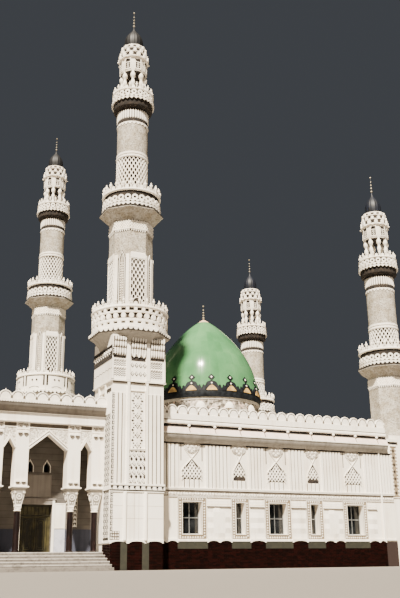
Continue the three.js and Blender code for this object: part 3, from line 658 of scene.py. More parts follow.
for side, wall in sides.items():
    here, at = (wall["angle"], wall["face"]), wall["windows"]
    start, end = wall["start"] + 0.02, wall["end"] - 0.02
    darks, nets, shields, reeds, lines = [], [], [], [], []

    def shade_line(up0, up1, alongs):
        """Upright lines of painted shade as wide as a groove."""
        lines.append(copies(slab(-GROOVE / 2, GROOVE / 2, up0, up1, 0, 0.006), alongs))

    for half in (WIDE, NARROW):
        same = at[halves == half]
        dark, white, carved = arch_panel(ARCH_HALF[half], half == NARROW)
        darks.append(copies(dark, same))
        nets.append(copies(white, same))
        shields.append(copies(carved, same))
        step = 0.3 if half == WIDE else 0.28
        shade_line(REED_FOOT, ARCH_FOOT - 0.02, same[:, None] + step * (np.arange(4) - 1.5)[None])
        short = rib([(0, REED_FOOT), (0, ARCH_FOOT - 0.04)], step - GROOVE, 0.06, front=0.8)
        reeds.append(copies(short, same[:, None] + step * (np.arange(3) - 1.0)[None]))
    shade_line(5.85, REED_TOP, at[halves == WIDE][:, None] + np.array([-0.66, 0.66]))
    room = np.array([ROOM[half] for half in halves])
    for first, last in zip(np.append(start + 0.14, at + room), np.append(at - room, end - 0.14)):
        spots = np.linspace(first, last, max(2, round((last - first) / REED_PITCH) + 1))
        pitch = spots[1] - spots[0]
        shade_line(REED_FOOT, REED_TOP + 0.02, spots)
        reed = rib([(0, REED_FOOT), (0, REED_TOP)], pitch - GROOVE, 0.07, front=0.8)
        reeds.append(copies(reed, np.append(spots - pitch / 2, last + pitch / 2)))
    # Dark strips under the cornice, between the panels of flowers: its cast shadow, painted.
    shield = np.array([SHIELD_HALF[half] + 0.02 for half in halves])
    for first, last in zip(np.append(start, at + shield), np.append(at - shield, end)):
        darks.append(slab(first, last, 6.765, 6.86, 0, 0.08))
    strings = [slab(start, end, 4.23, REED_FOOT, 0, 0.09),
               slab(start, end, 4.29, REED_FOOT - 0.01, 0, 0.11),
               slab(start, end, BAND_FOOT - 0.05, BAND_FOOT - 0.02, 0, 0.06)]
    lines += [slab(start, end, BAND_TOP + 0.005, 4.2295, 0, 0.05),
              slab(start, end, BAND_FOOT - 0.02, BAND_FOOT + 0.01, 0, 0.03)]
    buds = copies(flower(0.075, 0.02, 0.055), np.arange(start + 0.1, end - 0.05, 0.18),
                  (BAND_FOOT + BAND_TOP) / 2)
    shields.append(slab(start, end, BAND_FOOT, BAND_TOP, 0, 0.02))
    for suffix, shapes, finish in (
            ("_dust_lines", lines, shade_and_joints),
            ("_reeds_and_strings", [*reeds, *strings, buds], plaster),
            ("_arch_nets", nets, plaster), ("_arch_backings", darks, painted_shadow),
            ("_carved_band", shields, carved_plaster)):
        put(side + suffix, stand(joined(*shapes), *here), finish)

# Parapets: a cornice cast in concrete and run in plaster, whose hollow underside is painted
# grey as shade, a sloped fascia in pink-white slabs with a white boss over each joint, and
# lobes with arched rims cast one by one. The joints are dark; the groove over the fascia, the
# line above the moulding and the marks on the lobes are painted shade.
PROFILE = np.array([(0.0003, 6.83), (0.06, 6.845), (0.15, 6.90), (0.23, 6.98), (0.3, 7.08),
                    (0.36, 7.2), (0.39, 7.31), (0.42, 7.31), (0.42, 7.37), (0.38, 7.39),
                    (0.17, 7.74), (0.13, 7.76), (0.13, 7.88), (0.2, 7.89), (0.24, 7.93),
                    (0.24, 8.03), (0.2, 8.06), (0.15, 8.09), (0.15, 8.47), (-0.08, 8.47),
                    (-0.08, 8.0603), (0.0003, 8.0603)])
LOBE_FOOT, LOBE_TIP, LOBE_BACK, LOBE_FRONT = 8.47, 9.0, -0.04, 0.12
LOBE_WIDTH, BOSS_PITCH, BOSS_RADIUS = 0.663, 1.64, 0.09
OVERHANG = PROFILE[:, 0].max()


def run(profile, start, end, lean0=0.0, lean1=0.0):
    """A profile of (out, up) points carried along; an end leans out with its mitre."""
    return loft([np.column_stack((place + lean * profile[:, 0], profile[:, 1], profile[:, 0]))
                 for place, lean in ((start, lean0), (end, lean1))])


def lobe_outline(width, foot, tip, swell):
    """Half a circle stretched to the tip over a neck: anticlockwise from the left foot."""
    way = np.linspace(-0.18 * np.pi, 1.18 * np.pi, 15)
    radius = width / 2 * swell
    rise = tip - foot
    centre = foot + rise * 0.38
    arc = np.column_stack((radius * np.cos(way), centre + rise * 0.62 * np.sin(way)))
    return np.concatenate(([(-0.36 * width, foot - 0.03), (0.36 * width, foot - 0.03)], arc))


def lobe(width, foot, tip, back, front):
    """A lobe with an arched rim standing 30 mm before it, and the shade painted on it: a line
    inside the rim, and at its right side the drop between it and its neighbour."""
    outline = lobe_outline(width, foot, tip, 0.99)
    arch = outline[4:-2]
    middle = np.array([0.0, foot + 0.38 * (tip - foot)])
    rim = rib(middle + (arch - middle) * 0.9, 0.06, front + 0.03, front - 0.01)
    web = slab(0.4 * width, 0.6 * width, foot + 0.36 * (tip - foot), foot + 0.6 * (tip - foot),
               back + 0.01, front - 0.015)
    line = rib(middle + (arch - middle) * 0.73, 0.05, front + 0.004, front - 0.01)
    drop = plate([(0.41 * width, foot), (0.59 * width, foot), (0.6 * width, foot + 0.09),
                  (0.5 * width, foot + 0.22), (0.4 * width, foot + 0.09)], (front - 0.06, 1),
                 (front + 0.006, 1))
    return joined(plate(outline, (back, 1), (front, 1)), rim, web), joined(line, drop)


# Grey for soffits and hollows: painted shade.
shade_grey = lime_plaster("dusty_grey_plaster", "A09A90", "878178")
fascia_pink = lime_plaster("pink_white_fascia_slabs", "EBD8CB", "D9C4B6")


def skin(line, start, end, lean0, lean1, thick=0.006):
    """A coat on part of a cornice: the line of its face, moved out along its own normals, and
    the line itself, carried along."""
    way = np.gradient(line, axis=0)
    way /= np.linalg.norm(way, axis=1)[:, None]
    normal = np.column_stack((way[:, 1], -way[:, 0]))
    ring = np.concatenate((line - normal * 0.004, (line + normal * thick)[::-1]))
    return run(ring, start, end, lean0, lean1)


runs = {"front_parapet": ("front", 0, 0), "right_parapet": ("right", 0, 0),
        "back_parapet": ("back", 0, 1), "left_parapet": ("left", -1, 0)}
for node, (side, lean0, lean1) in runs.items():
    here = sides[side]["angle"], sides[side]["face"]
    start, end, _ = extent(side, node)
    start, end = start + OVERHANG * (lean0 != 0), end - OVERHANG * (lean1 != 0)
    body = run(PROFILE, start, end, lean0, lean1)
    count = round((end - start) / LOBE_WIDTH)
    pitch = (end - start) / count
    one, dark = lobe(pitch, LOBE_FOOT, LOBE_TIP, LOBE_BACK, LOBE_FRONT - 0.03)
    spots = start + pitch * (np.arange(count) + 0.5)
    lobes, darks = copies(one, spots), copies(dark, spots[:-1])
    at = np.arange(start + (1.98 if side == "front" else 0.8), end - 0.3, BOSS_PITCH)
    circle = np.arange(10) * np.pi / 5
    boss = loft([BOSS_RADIUS * np.column_stack((np.sin(t) * np.cos(circle),
                                                np.sin(t) * np.sin(circle),
                                                np.full(10, -np.cos(t))))
                 for t in np.linspace(0.1, 3.04, 6)])
    bosses = copies(boss, at, 7.8, 0.23)
    joints = copies(skin(PROFILE[9:11], -0.024, 0.024, 0, 0, 0.01), at)
    span = start, end, lean0, lean1
    hollow = run(np.array([(0.12, 7.7), (0.203, 7.7), (0.182, 7.745), (0.14, 7.77), (0.14, 7.885),
                           (0.12, 7.885)]), *span)
    seam = run(np.array([(0.14, 8.085), (0.157, 8.085), (0.157, 8.145), (0.14, 8.145)]), *span)
    for suffix, shape, finish, nodes in (
            ("_joints", joined(darks, joints, seam), shade_and_joints, ()), ("_groove", hollow, painted_shadow, ()),
            ("_run", joined(body, lobes, bosses), plaster, [node]),
            ("_soffit", skin(PROFILE[0:8], *span), shade_grey, ()),
            ("_fascia", skin(PROFILE[9:11], *span), fascia_pink, ())):
        put(node + suffix, stand(shape, *here), finish, replaces=nodes)


# Minarets, front and back, tall at the left and short at the right. Their shafts are of
# speckled dressed stone, and everything cast on them is white plaster. Each is worked out
# once, about its own upright line, and stands twice.
SHORT_HALF, SHORT_SIZE = 1.53, 1.0254
EIGHT_WAYS = np.arange(8) * np.pi / 4


def middle_of(node):
    """The middle of a solid, seen from above."""
    low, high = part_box(node)
    return (low.x + high.x) / 2, (low.y + high.y) / 2


tall_x, tall_y = middle_of("tall_front_cap")
TALL = {"tall_front": (tall_x, tall_y), "tall_back": (tall_x, -tall_y)}
SHORT = {name: middle_of(name + "_cap") for name in ("short_front", "short_back")}

speckled, tree, shader, place = new_finish("speckled_dressed_stone", 0.8)
grains = add_node(tree, "TexVoronoi", {"Vector": place, "Scale": 22.0})
tone = add_node(tree, "SeparateColor", {"Color": grains.outputs["Color"]})
speck = spread(tree, tone.outputs[0], [(0.05, "7D766C"), (0.35, "ADA69A"), (0.95, "CBC6BB")])
patches = add_node(tree, "TexNoise", {"Vector": place, "Scale": 2.4, "Detail": 5.0})
soft = spread(tree, patches.outputs[0], [(0.35, "D8D2C6"), (0.65, "FFFFFF")])
mixed = add_node(tree, "Mix", {"Factor": 1.0, "A": speck, "B": soft}, data_type="RGBA",
                 blend_type="MULTIPLY")
bump = add_node(tree, "Bump", {"Height": grains.outputs["Distance"], "Strength": 0.5,
                               "Distance": 0.01})
wire(shader, mixed.outputs["Result"], bump)


def turned(profile, sides, closed=False):
    """A profile of (radius, height) points turned round the upright, with its flats towards the
    face: point i is at the angle of i and a half sides."""
    profile = np.asarray(profile, float)
    turns = (np.arange(sides) + 0.5) * 2 * np.pi / sides
    radius, height = profile[:, :1], profile[:, 1:]
    return loft(np.stack((radius * np.cos(turns), np.broadcast_to(height, (len(profile), sides)),
                          -radius * np.sin(turns)), -1), closed)


def ringed(radius0, radius1, up0, up1, sides=48, bevel=0.02):
    """A ring between two radii, its outer edges bevelled."""
    return turned([(radius0, up0), (radius1 - bevel, up0), (radius1, up0 + bevel),
                   (radius1, up1 - bevel), (radius1 - bevel, up1), (radius0, up1)], sides, True)


def around(shape, count, radius, up=0.0, offset=0.0):
    """Copies round the upright, evenly spaced, each facing outwards."""
    return stand(shape, (np.arange(count) + offset) * 2 * np.pi / count, radius, up=up)


def upright(shape):
    """A shape made by stand, back in a face's own directions: along X, up Z, out -Y."""
    points, corners, counts = shape
    return np.column_stack((points[:, 0], points[:, 2], -points[:, 1])), corners, counts


def grown(shape, size, up):
    """A shape made larger about the ground point, then raised."""
    points, corners, counts = shape
    return points * size + (0, up, 0), corners, counts


def ball(radius, up=0.0, out=0.0):
    """A sphere of eight sides: radius times sine across, and minus cosine up."""
    return copies(turned([(radius * math.sin(t), -radius * math.cos(t))
                          for t in np.linspace(0.15, np.pi - 0.15, 6)], 8), 0, up, out)


def pinnacle(height):
    """A small turned post with a ball on it and a bead over the ball."""
    shares = np.array([(0.07, 0), (0.07, 0.24), (0.11, 0.3), (0.08, 0.38), (0.17, 0.54),
                       (0.17, 0.66), (0.07, 0.8), (0.1, 0.88)])
    return turned([*(shares * height), (0.008, height)], 8)


def rail_crown(count, radius, up, height):
    """What stands on a gallery's rail: rounded lobes, and a pinnacle between every two."""
    width = 2 * math.pi * radius / count
    low_lobe = plate(lobe_outline(width * 0.62, 0, height * 0.42, 0.8), (-0.03, 1), (0.03, 1))
    return joined(upright(around(low_lobe, count, radius, up)),
                  upright(around(pinnacle(height), count, radius, up, 0.5)))


def teeth(count, radius, up0, up1, depth):
    """Hanging points: triangles whose tips look down, side by side round the upright."""
    half = math.pi * radius / count
    point = plate([(-half, up1), (-half * 0.9, up1 - 0.3 * (up1 - up0)), (0, up0),
                   (half * 0.9, up1 - 0.3 * (up1 - up0)), (half, up1)], (-0.02, 1), (depth, 1))
    return upright(around(point, count, radius))


def lattice_face(width, up0, up1, mesh_width, mesh_height, hole=0.58):
    """A flat net in its frame: a plate behind it painted dark as shadow, meshes and rim, for a
    face of that width.
    """
    def inside(along, up):
        """Within the face, clear of its top and foot."""
        return (np.abs(along) < width / 2) & (up > up0 + 0.02) & (up < up1 - 0.02)

    alongs, ups = net(inside, (-width / 2, width / 2), (up0, up1), mesh_width, mesh_height)
    meshes = copies(tile(mesh_width, mesh_height, hole, 0.008, 0.045), alongs, ups)
    rim = rib(rectangle(-width / 2 - 0.01, width / 2 + 0.01, up0 - 0.1, up1 + 0.04), 0.05, 0.06,
              closed=True)
    return slab(-width / 2, width / 2, up0 - 0.08, up1 + 0.04, 0, 0.006), joined(meshes, rim)


TWELFTHS = np.arange(12) * np.pi / 6
ROUND_EDGE = np.column_stack((np.cos(TWELFTHS), np.sin(TWELFTHS)))


def ring_relief(radius, out):
    """A raised round ring with a pit in the middle, of twelve sides."""
    steps = ((1, 0), (0.9, out), (0.6, out), (0.45, 0.0))
    return loft([np.column_stack((ROUND_EDGE * radius * share, np.full(12, w)))
                 for share, w in steps], closed=True)


def hoops(count, radius, outer, inner, up):
    """Raised rings side by side round the upright, open in the middle."""
    one = pierced(ROUND_EDGE * outer, ROUND_EDGE * inner, -0.05, 0.02)
    return upright(around(one, count, radius, up))


# Middle gallery, from the soffit up: dark leaves under a dark lip, two rows of teeth, open
# rings before the dark, the rail, and the lobes and pinnacles on it. The lip's line and the
# dark behind the rings are painted shade, and the leaves are drawn in the same black.
def middle_gallery():
    """Its white parts, its grooves painted dark as shade and its stone soffit, with the soffit
    at height 0.
    """
    soffit = turned([(0.9, -0.02), (1.29, -0.02), (1.33, 0.03), (1.38, 0.13), (1.6, 0.37),
                     (1.88, 0.54), (1.92, 0.58), (1.92, 0.61), (0.9, 0.61)], 8)
    leaf = plate([(0, -0.1), (0.05, 0), (0, 0.1), (-0.05, 0)], (0, 1), (0.012, 0.8))
    points = leaf[0]
    tilted = (np.column_stack((points[:, 0], points[:, 1] * 0.64 - points[:, 2] * 0.77,
                               points[:, 1] * 0.77 + points[:, 2] * 0.64)), leaf[1], leaf[2])
    leaves = upright(stand(copies(tilted, [-0.45, -0.3, -0.1, 0.1, 0.3, 0.45], 0.33, 1.395),
                           EIGHT_WAYS[:, None]))
    wall = joined(ringed(1.55, 1.76, 0.87, 0.92), ringed(1.55, 1.78, 1.7, 1.83, bevel=0.04),
                  ringed(1.55, 1.73, 1.04, 1.09))
    rows = joined(teeth(40, 1.74, 0.73, 0.88, 0.04), teeth(40, 1.73, 0.92, 1.05, 0.04))
    white = joined(wall, rows, hoops(26, 1.72, 0.185, 0.085, 1.24),
                   rail_crown(24, 1.7, 1.83, 0.55))
    dark = joined(ringed(1.5, 1.66, 0.73, 1.75, bevel=0.005), leaves,
                  turned([(1.4, 0.612), (1.9, 0.612), (1.9, 0.728), (1.4, 0.728)], 8, True))
    floor = turned([(0.5, 0.73), (1.6, 0.73), (1.6, 0.79), (0.5, 0.79)], 32)
    return white, dark, joined(soffit, floor)


# Top gallery, round like its shaft: a soffit painted dark as shade, two rows of teeth, open
# rings, a line painted dark as shade, and the rail with its lobes and pinnacles.
def top_gallery():
    """Its white parts, its soffit and core painted dark as shade, and its floor, with the soffit
    at height 0.
    """
    soffit = turned([(0.7, 0.0), (0.945, 0.0), (1.08, 0.03), (1.2, 0.1), (1.22, 0.16),
                     (1.22, 0.52), (0.7, 0.52)], 48)
    wall = joined(ringed(1.0, 1.3, 0.58, 0.62), ringed(1.0, 1.27, 0.75, 0.79),
                  ringed(1.0, 1.3, 1.15, 1.26, bevel=0.04))
    points = joined(teeth(30, 1.3, 0.44, 0.59, 0.04), teeth(30, 1.27, 0.62, 0.76, 0.04))
    white = joined(wall, points, hoops(20, 1.26, 0.17, 0.075, 0.95),
                   rail_crown(18, 1.2, 1.26, 0.45))
    dark = joined(soffit, ringed(1.0, 1.2, 0.5, 1.2, bevel=0.005))
    floor = turned([(0.5, 0.4), (0.9, 0.4), (0.9, 0.53), (0.5, 0.53)], 32)
    return white, dark, floor


# Lantern: eight turned columns with ball capitals, a panelled ring over them, and a crown
# of petals on which the cap sits. The ceiling inside and the grooves are painted dark as shade.
def lantern():
    """Its white parts, and its ceiling and grooves painted dark as shade, with the floor at
    height 0.
    """
    column = turned([(0.12, 0), (0.12, 0.1), (0.075, 0.16), (0.075, 1.15), (0.1, 1.3),
                     (0.13, 1.38), (0.14, 1.5), (0.1, 1.62), (0.07, 1.68), (0.09, 1.8),
                     (0.145, 1.87), (0.16, 1.99), (0.135, 2.11), (0.08, 2.2), (0.09, 2.35)], 12)
    columns = upright(around(column, 8, 0.72, offset=0.5))
    ring = turned([(0.3, 2.29), (0.8, 2.29), (0.84, 2.36), (0.84, 3.26), (0.3, 3.26)], 16)
    panel = joined(pierced(rectangle(-0.21, 0.21, 2.4, 3.2), rectangle(-0.16, 0.16, 2.46, 3.14),
                           0, 0.03), copies(ring_relief(0.08, 0.03), 0, [2.58, 2.76]),
                   slab(-0.16, 0.16, 2.88, 2.92, 0, 0.03))
    petals = [upright(around(plate(lobe_outline(wide, 0, tall, 0.95), (-0.06, 1), (0.03, 0.85)),
                             12, radius, up, offset))
              for wide, tall, radius, up, offset in (
                  (0.27, 0.28, 0.94, 3.36, 0), (0.23, 0.23, 0.86, 3.72, 0.5),
                  (0.21, 0.22, 0.79, 4.06, 0))]
    rings = [ringed(0.6, radius, up0, up1, bevel=bevel) for radius, up0, up1, bevel in (
        (0.96, 3.26, 3.37, 0.03), (0.88, 3.66, 3.73, 0.02), (0.81, 4.0, 4.07, 0.02),
        (0.75, 4.22, 4.3, 0.02))]
    beads = upright(around(ball(0.06), 12, 0.98, 3.25, 0.5))
    dark = joined(turned([(0.02, 2.23), (0.78, 2.23), (0.78, 2.289), (0.02, 2.289)], 16),
                  upright(around(slab(-0.2, 0.2, 2.41, 3.19, -0.1, 0.008), 8, 0.826)),
                  turned([(0.3, 3.3), (0.9, 3.3), (0.84, 3.6), (0.82, 3.75), (0.76, 4.0),
                          (0.7, 4.24), (0.3, 4.24)], 24))
    return joined(columns, ring, upright(around(panel, 8, 0.826)), *petals, *rings, beads), dark


def onion(foot, bulb, size, ribs):
    """An onion cap: its radius follows the shares from the foot up, and swells and sinks with
    the cosine of the ribs' angle by two hundredths."""
    bare, share, up = np.transpose([
        (0.0, 0.85, 0.0), (0.0, 0.97, 0.2), (0.0, 1.0, 0.33), (0.0, 0.98, 0.46), (0.0, 0.88, 0.6),
        (0.0, 0.7, 0.73), (0.0, 0.5, 0.84), (0.0, 0.32, 0.93), (0.0, 0.2, 1.0), (0.03, 0.08, 1.08),
        (0.03, 0.0, 1.13)])[:, :, None]
    turns = (np.arange(ribs * 4) + 0.5) * 2 * np.pi / (ribs * 4)
    swell = 1 + 0.02 * np.cos(ribs * turns)
    radius = (bare + bulb * share) * size * swell[None]
    height = foot + up * (1.45 * size) + np.zeros_like(swell)[None]
    return loft(np.stack((radius * np.cos(turns), height, -radius * np.sin(turns)), -1))


def finial(foot, tip, radius, balls):
    """A rod that tapers to its tip, and light balls on it, smaller and smaller, with one more
    near the tip."""
    span = tip - foot
    rod = turned([(radius, foot), (radius * 0.5, foot + 0.1 * span),
                  (radius * 0.35, tip - 0.14 * span), (0.006, tip)], 8)
    shares = np.append(np.linspace(0.18, 0.7, balls), 0.95)
    sizes = np.append(np.linspace(1.2, 0.8, balls), 0.95)
    return rod, joined(*(ball(radius * size, foot + share * span)
                         for share, size in zip(shares, sizes)))


dark_glaze = mottled("navy_glazed_tile", 0.55, 6.0, 4.0, [(0.35, "05070C"), (0.7, "10182A")])
black_glaze = mottled("black_glazed_tile", 0.58, 6.0, 4.0, [(0.35, "050506"), (0.7, "17171A")])
pale_brass = mottled("weathered_pale_brass", 0.4, 9.0, 4.0, [(0.4, "A59A82"), (0.7, "D8D0BC")],
                     Metallic=0.6)


def dress(spots, suffix, shape, finish, slot="plaster", node=None):
    """The same shape on each upright line, such as each of the minarets, and named after it.
    Where a node's ending is given, it stands in place of that node."""
    for name, (x, y) in spots.items():
        put(name + suffix, stand(shape, 0, 0, x, y), finish, slot,
            () if node is None else [name + node])


def round_stage(foot, soffit, size, net_top):
    """The round shaft: a net over a core painted dark as shade, two rings on it, plain stone,
    a row of hanging scallops over a groove painted dark as shade, and pointed darts under the
    soffit."""
    radius = 0.945 * size
    behind = radius - 0.1
    core = turned([(radius - 0.06, foot), (radius - 0.06, net_top), (radius, net_top),
                   (radius, soffit), (radius - 0.2, soffit)], 48)
    rows = np.arange(foot + 0.25, net_top - 0.1, 0.215)
    count = 24
    net_tile = tile(2 * math.pi * radius / count, 0.43, 0.74, -0.045, 0.015)
    turns = (np.arange(count)[None] + np.arange(len(rows))[:, None] % 2 / 2) * 2 * np.pi / count
    netting = upright(stand(net_tile, turns, radius, up=rows[:, None]))
    bands = joined(ringed(behind, radius + 0.05, net_top - 0.04, net_top + 0.12, bevel=0.04),
                   ringed(behind, radius + 0.03, net_top + 0.16, net_top + 0.34, bevel=0.04))
    high = soffit - 1.03 * size
    scallops = joined(ringed(behind, radius + 0.02, high, high + 0.08),
                      teeth(24, radius + 0.01, high - 0.13, high + 0.03, 0.02))
    span = soffit - high - 0.3
    dart = plate([(-0.04, 0), (-0.062, 0.1), (-0.062, span - 0.14), (0, span),
                  (0.062, span - 0.14), (0.062, 0.1), (0.04, 0)], (-0.03, 1), (0.03, 0.8))
    darts = upright(around(dart, 38, radius + 0.012, high + 0.27))
    dark = joined(ringed(behind, radius + 0.01, high + 0.07, soffit + 0.01, bevel=0.002),
                  ringed(radius - 0.12, radius - 0.048, foot, net_top - 0.02, bevel=0.002))
    return core, joined(netting, bands, scallops, darts), dark


def octagon_stage(foot, soffit, size, net_top):
    """The eight-sided shaft. Where it is tall, its four straight faces have nets under a white
    band, and its four slanting ones pointed niches with relief dots between white pilasters.
    All of them have lozenges over hanging drops under the soffit."""
    corner = 1.29 * size
    face = corner * math.cos(math.pi / 8)
    core = turned([(corner, foot), (corner, soffit), (corner - 0.3, soffit)], 8)
    # What is dark on the shaft is painted shade: plates behind the nets, lines round the niches,
    # and strips under the lozenges and the soffit.
    darks, whites = [], []
    wide = 2 * corner * math.sin(math.pi / 8)
    if net_top > foot + 2:
        dark, net_face = lattice_face(wide - 0.1, foot + 0.3, net_top, 0.25, 0.43, 0.8)
        band = joined(slab(-wide / 2 + 0.02, wide / 2 - 0.02, net_top + 0.08, net_top + 0.36, 0,
                           0.07),
                      slab(-wide / 2 + 0.06, wide / 2 - 0.06, net_top + 0.36, net_top + 0.44, 0,
                           0.04))
        straight = np.arange(4) * np.pi / 2
        darks.append(upright(stand(dark, straight, face)))
        whites.append(upright(stand(joined(net_face, band), straight, face)))
        half, tip = 0.17, net_top + 0.47
        way = np.linspace(0, 1, 6)[1:-1]
        curve = np.column_stack((half * np.cos(way * np.pi / 2) ** 0.8,
                                 tip - 0.6 + 0.6 * way ** 1.1))
        arch = np.concatenate(([(half, foot), (half, tip - 0.6)], curve, [(0, tip)],
                               (curve * (-1, 1))[::-1], [(-half, tip - 0.6), (-half, foot)]))
        dots = copies(flower(0.05, 0.0, 0.035), [[-0.07], [0.07]],
                      np.arange(foot + 0.2, tip - 0.7, 0.15))
        pilasters = (slab(0.26, wide / 2 - 0.03, foot, net_top + 0.3, 0, 0.05),
                     slab(-wide / 2 + 0.03, -0.26, foot, net_top + 0.3, 0, 0.05))
        slanting = straight + np.pi / 4
        niche = joined(rib(arch, 0.045, 0.05), dots, *pilasters)
        whites.append(upright(stand(niche, slanting, face)))
        line = joined(rib(arch, 0.12, 0.008),
                      slab(half + 0.02, 0.27, foot, net_top + 0.1, 0, 0.009),
                      slab(-0.27, -half - 0.02, foot, net_top + 0.1, 0, 0.009))
        darks.append(upright(stand(line, slanting, face)))
    high = soffit - 0.58 * size
    lozenge = plate([(0, -0.1), (0.075, 0), (0, 0.1), (-0.075, 0)], (0.01, 1), (0.055, 0.55))
    rows = np.arange(high + 0.1, soffit - 0.05, 0.1)
    steps = (np.arange(6)[None] - 2.5 + np.arange(len(rows))[:, None] % 2 / 2) * 0.158 * size
    band = joined(copies(lozenge, steps, rows[:, None]),
                  slab(-wide / 2 - 0.005, wide / 2 + 0.005, high, soffit, -0.01, 0.012),
                  slab(-wide / 2 - 0.02, wide / 2 + 0.02, high - 0.03, high + 0.03, -0.01, 0.06),
                  copies(plate([(-0.06, 0), (0, -0.14), (0.06, 0)], (0, 1), (0.04, 1)),
                         (np.arange(7) - 3) * 0.14 * size, high - 0.04))
    whites.append(upright(stand(band, EIGHT_WAYS, face)))
    under = slab(-wide / 2, wide / 2, high - 0.15, high - 0.03, -0.01, 0.012)
    seam = slab(-wide / 2, wide / 2, soffit - 0.06, soffit - 0.021, -0.01, 0.02)
    darks.append(upright(stand(joined(under, seam), EIGHT_WAYS, face)))
    return core, joined(*whites), joined(*darks)


for spots, size, soffit, top_soffit, floor, base, net_top, net_end, bulb, glaze in (
        (TALL, 1.0, 19.69, 27.38, 27.86, 12.85, 17.2, 24.03, 0.59, black_glaze),
        (SHORT, SHORT_SIZE, 12.14, 19.47, 19.47 + 0.48 * SHORT_SIZE, 8.0603, 8.0603, 15.6, 0.56,
         dark_glaze)):
    white, groove, stone = middle_gallery()
    core, trims, dark = octagon_stage(base, soffit, size, net_top)
    if spots is SHORT:
        # Four slopes lead from the square foot to the shaft's eight sides.
        side = (SHORT_HALF - 0.02) * math.sqrt(2)
        broach = turned([(side, base), (side - 0.06, base + 0.12),
                         (0.9 * math.sqrt(2), base + 0.98), (0.3, base + 0.98)], 4)
        core = joined(core, broach)
    dress(spots, "_octagon_stone", joined(core, grown(stone, size, soffit)), speckled, "stone",
          "_octagon_shaft")
    dress(spots, "_octagon_plaster", joined(trims, grown(white, size, soffit)), plaster)
    dress(spots, "_octagon_shadow", joined(dark, grown(groove, size, soffit)), painted_shadow)
    core, trims, groove = round_stage(soffit + 0.79 * size + 0.0003, top_soffit, size, net_end)
    white, dark, stone = top_gallery()
    dress(spots, "_round_stone", joined(core, grown(stone, size, top_soffit)), speckled, "stone",
          "_round_shaft")
    dress(spots, "_round_plaster", joined(trims, grown(white, size, top_soffit)), plaster)
    dress(spots, "_round_shadow", joined(groove, grown(dark, size, top_soffit)), painted_shadow)
    white, dark = lantern()
    dress(spots, "_lantern_dressed", grown(white, size, floor), plaster, node="_lantern")
    dress(spots, "_lantern_shadow", grown(dark, size, floor), painted_shadow)
    low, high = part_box("tall_front_cap" if spots is TALL else "short_front_cap")
    dress(spots, "_cap_glazed", onion(low.z, bulb, size, 16), glaze, "cap_dark", "_cap")
    rod, beads = finial(low.z + 1.6 * size, high.z, 0.06 * size, 4)
    dress(spots, "_finial_rod", rod, glaze, "cap_dark")
    dress(spots, "_finial_balls", beads, pale_brass, "bronze")


# Feet of the tall minarets: ashlar plastered white. The front one's face has brick arches
# between green-grey slabs, half columns, a carved string, and above it reeds either side of
# an upright strip of pierced work. Only the top of the back one's foot shows.
TALL_HALF, BED_FACE, TALL_FOOT_TOP, STRING_TOP, BRICKS_PROUD = 1.5, 1.45, 9.87, 4.36, 0.062
ashlar_line = lime_plaster("ashlar_joint", "CFC4B6", "B5A998")


def rhomb(width, height):
    """A rhombus of that width and height."""
    return np.array([(width / 2, 0), (0, height / 2), (-width / 2, 0), (0, -height / 2)])


def ring_rhomb(width, height, share, out):
    """A rhombus with a rhombus cut out of it, that share of its size."""
    return pierced(rhomb(width, height), rhomb(width * share, height * share), 0, out)


def grooves(alongs, up0, up1, wide=0.055):
    """Upright strips painted dark as the shade between the reeds."""
    return copies(slab(-wide / 2, wide / 2, up0, up1, 0, 0.006), alongs)


def pits(width, height, alongs, ups, deep=0.012):
    """Rhombic holes, drawn as thin plates painted dark as their shade, at every step along and up.
    """
    return copies(plate(rhomb(width, height), (0, 1), (deep, 1)), alongs, ups)


def foot_face(up0, up1):
    """The upper part of a face: reeds with grooves painted dark as shade between them, either
    side of a strip where rows of deep holes, big and small, drawn as plates painted dark as
    their shade, run round ringed rhombuses."""
    reeds = [rib([(along, up0), (along, 9.2)], width, 0.06, front=0.8)
             for along, width in ((-1.265, 0.17), (-1.035, 0.17), (-0.83, 0.1), (0.73, 0.18),
                                  (0.97, 0.18), (1.205, 0.17), (1.42, 0.13))]
    lines = grooves([-1.15, -0.92, 0.61, 0.85, 1.09, 1.32], up0, 9.2, 0.06)
    strips = joined(slab(-0.65, -0.52, up0, up1, 0, 0.09), slab(0.44, 0.56, up0, up1, 0, 0.09))
    rim = rib(rectangle(-0.48, 0.4, max(up0, 6.2), 9.36), 0.05, 0.06, closed=True)
    rows = np.array([9.347, 8.81, 8.26, 7.73, 7.21, 6.66])
    rows = rows[rows > up0 + 0.45]
    holes = []
    for along, inward in ((-0.31, 1), (0.22, -1)):
        holes.append(pits(0.17, 0.14, along, rows[1:]))
        for step, down in ((0.06, 0.157), (0.155, 0.27), (0.06, 0.38)):
            holes.append(pits(0.1, 0.09, along + inward * step, rows - down))
    holes.append(pits(0.2, 0.36, -0.045, rows - 0.27, 0.01))
    rings = copies(ring_rhomb(0.15, 0.26, 0.4, 0.05), -0.045, rows - 0.27)
    return joined(*reeds, strips, rim, rings), joined(*holes), lines


def low_lattice():
    """Three rows of deep rhombic holes, drawn as plates painted dark as their shade, with raised
    rings in outlines painted dark as shade between them.
    """
    spots = [[-0.455], [-0.21], [0.06], [0.32]], [5.9, 5.43, 4.97, 4.51]
    rings = copies(ring_rhomb(0.14, 0.2, 0.4, 0.05), *spots)
    rim = rib(rectangle(-0.54, 0.47, STRING_TOP, 6.14), 0.04, 0.05, closed=True)
    return joined(rings, rim), joined(
        pits(0.17, 0.25, [[-0.35], [-0.08], [0.18], [0.4]], [5.66, 5.2, 4.74]),
        pits(0.2, 0.27, *spots, 0.01),
        pits(0.12, 0.12, [[-0.34], [-0.1], [0.18], [0.4]], [6.06, 4.39]))


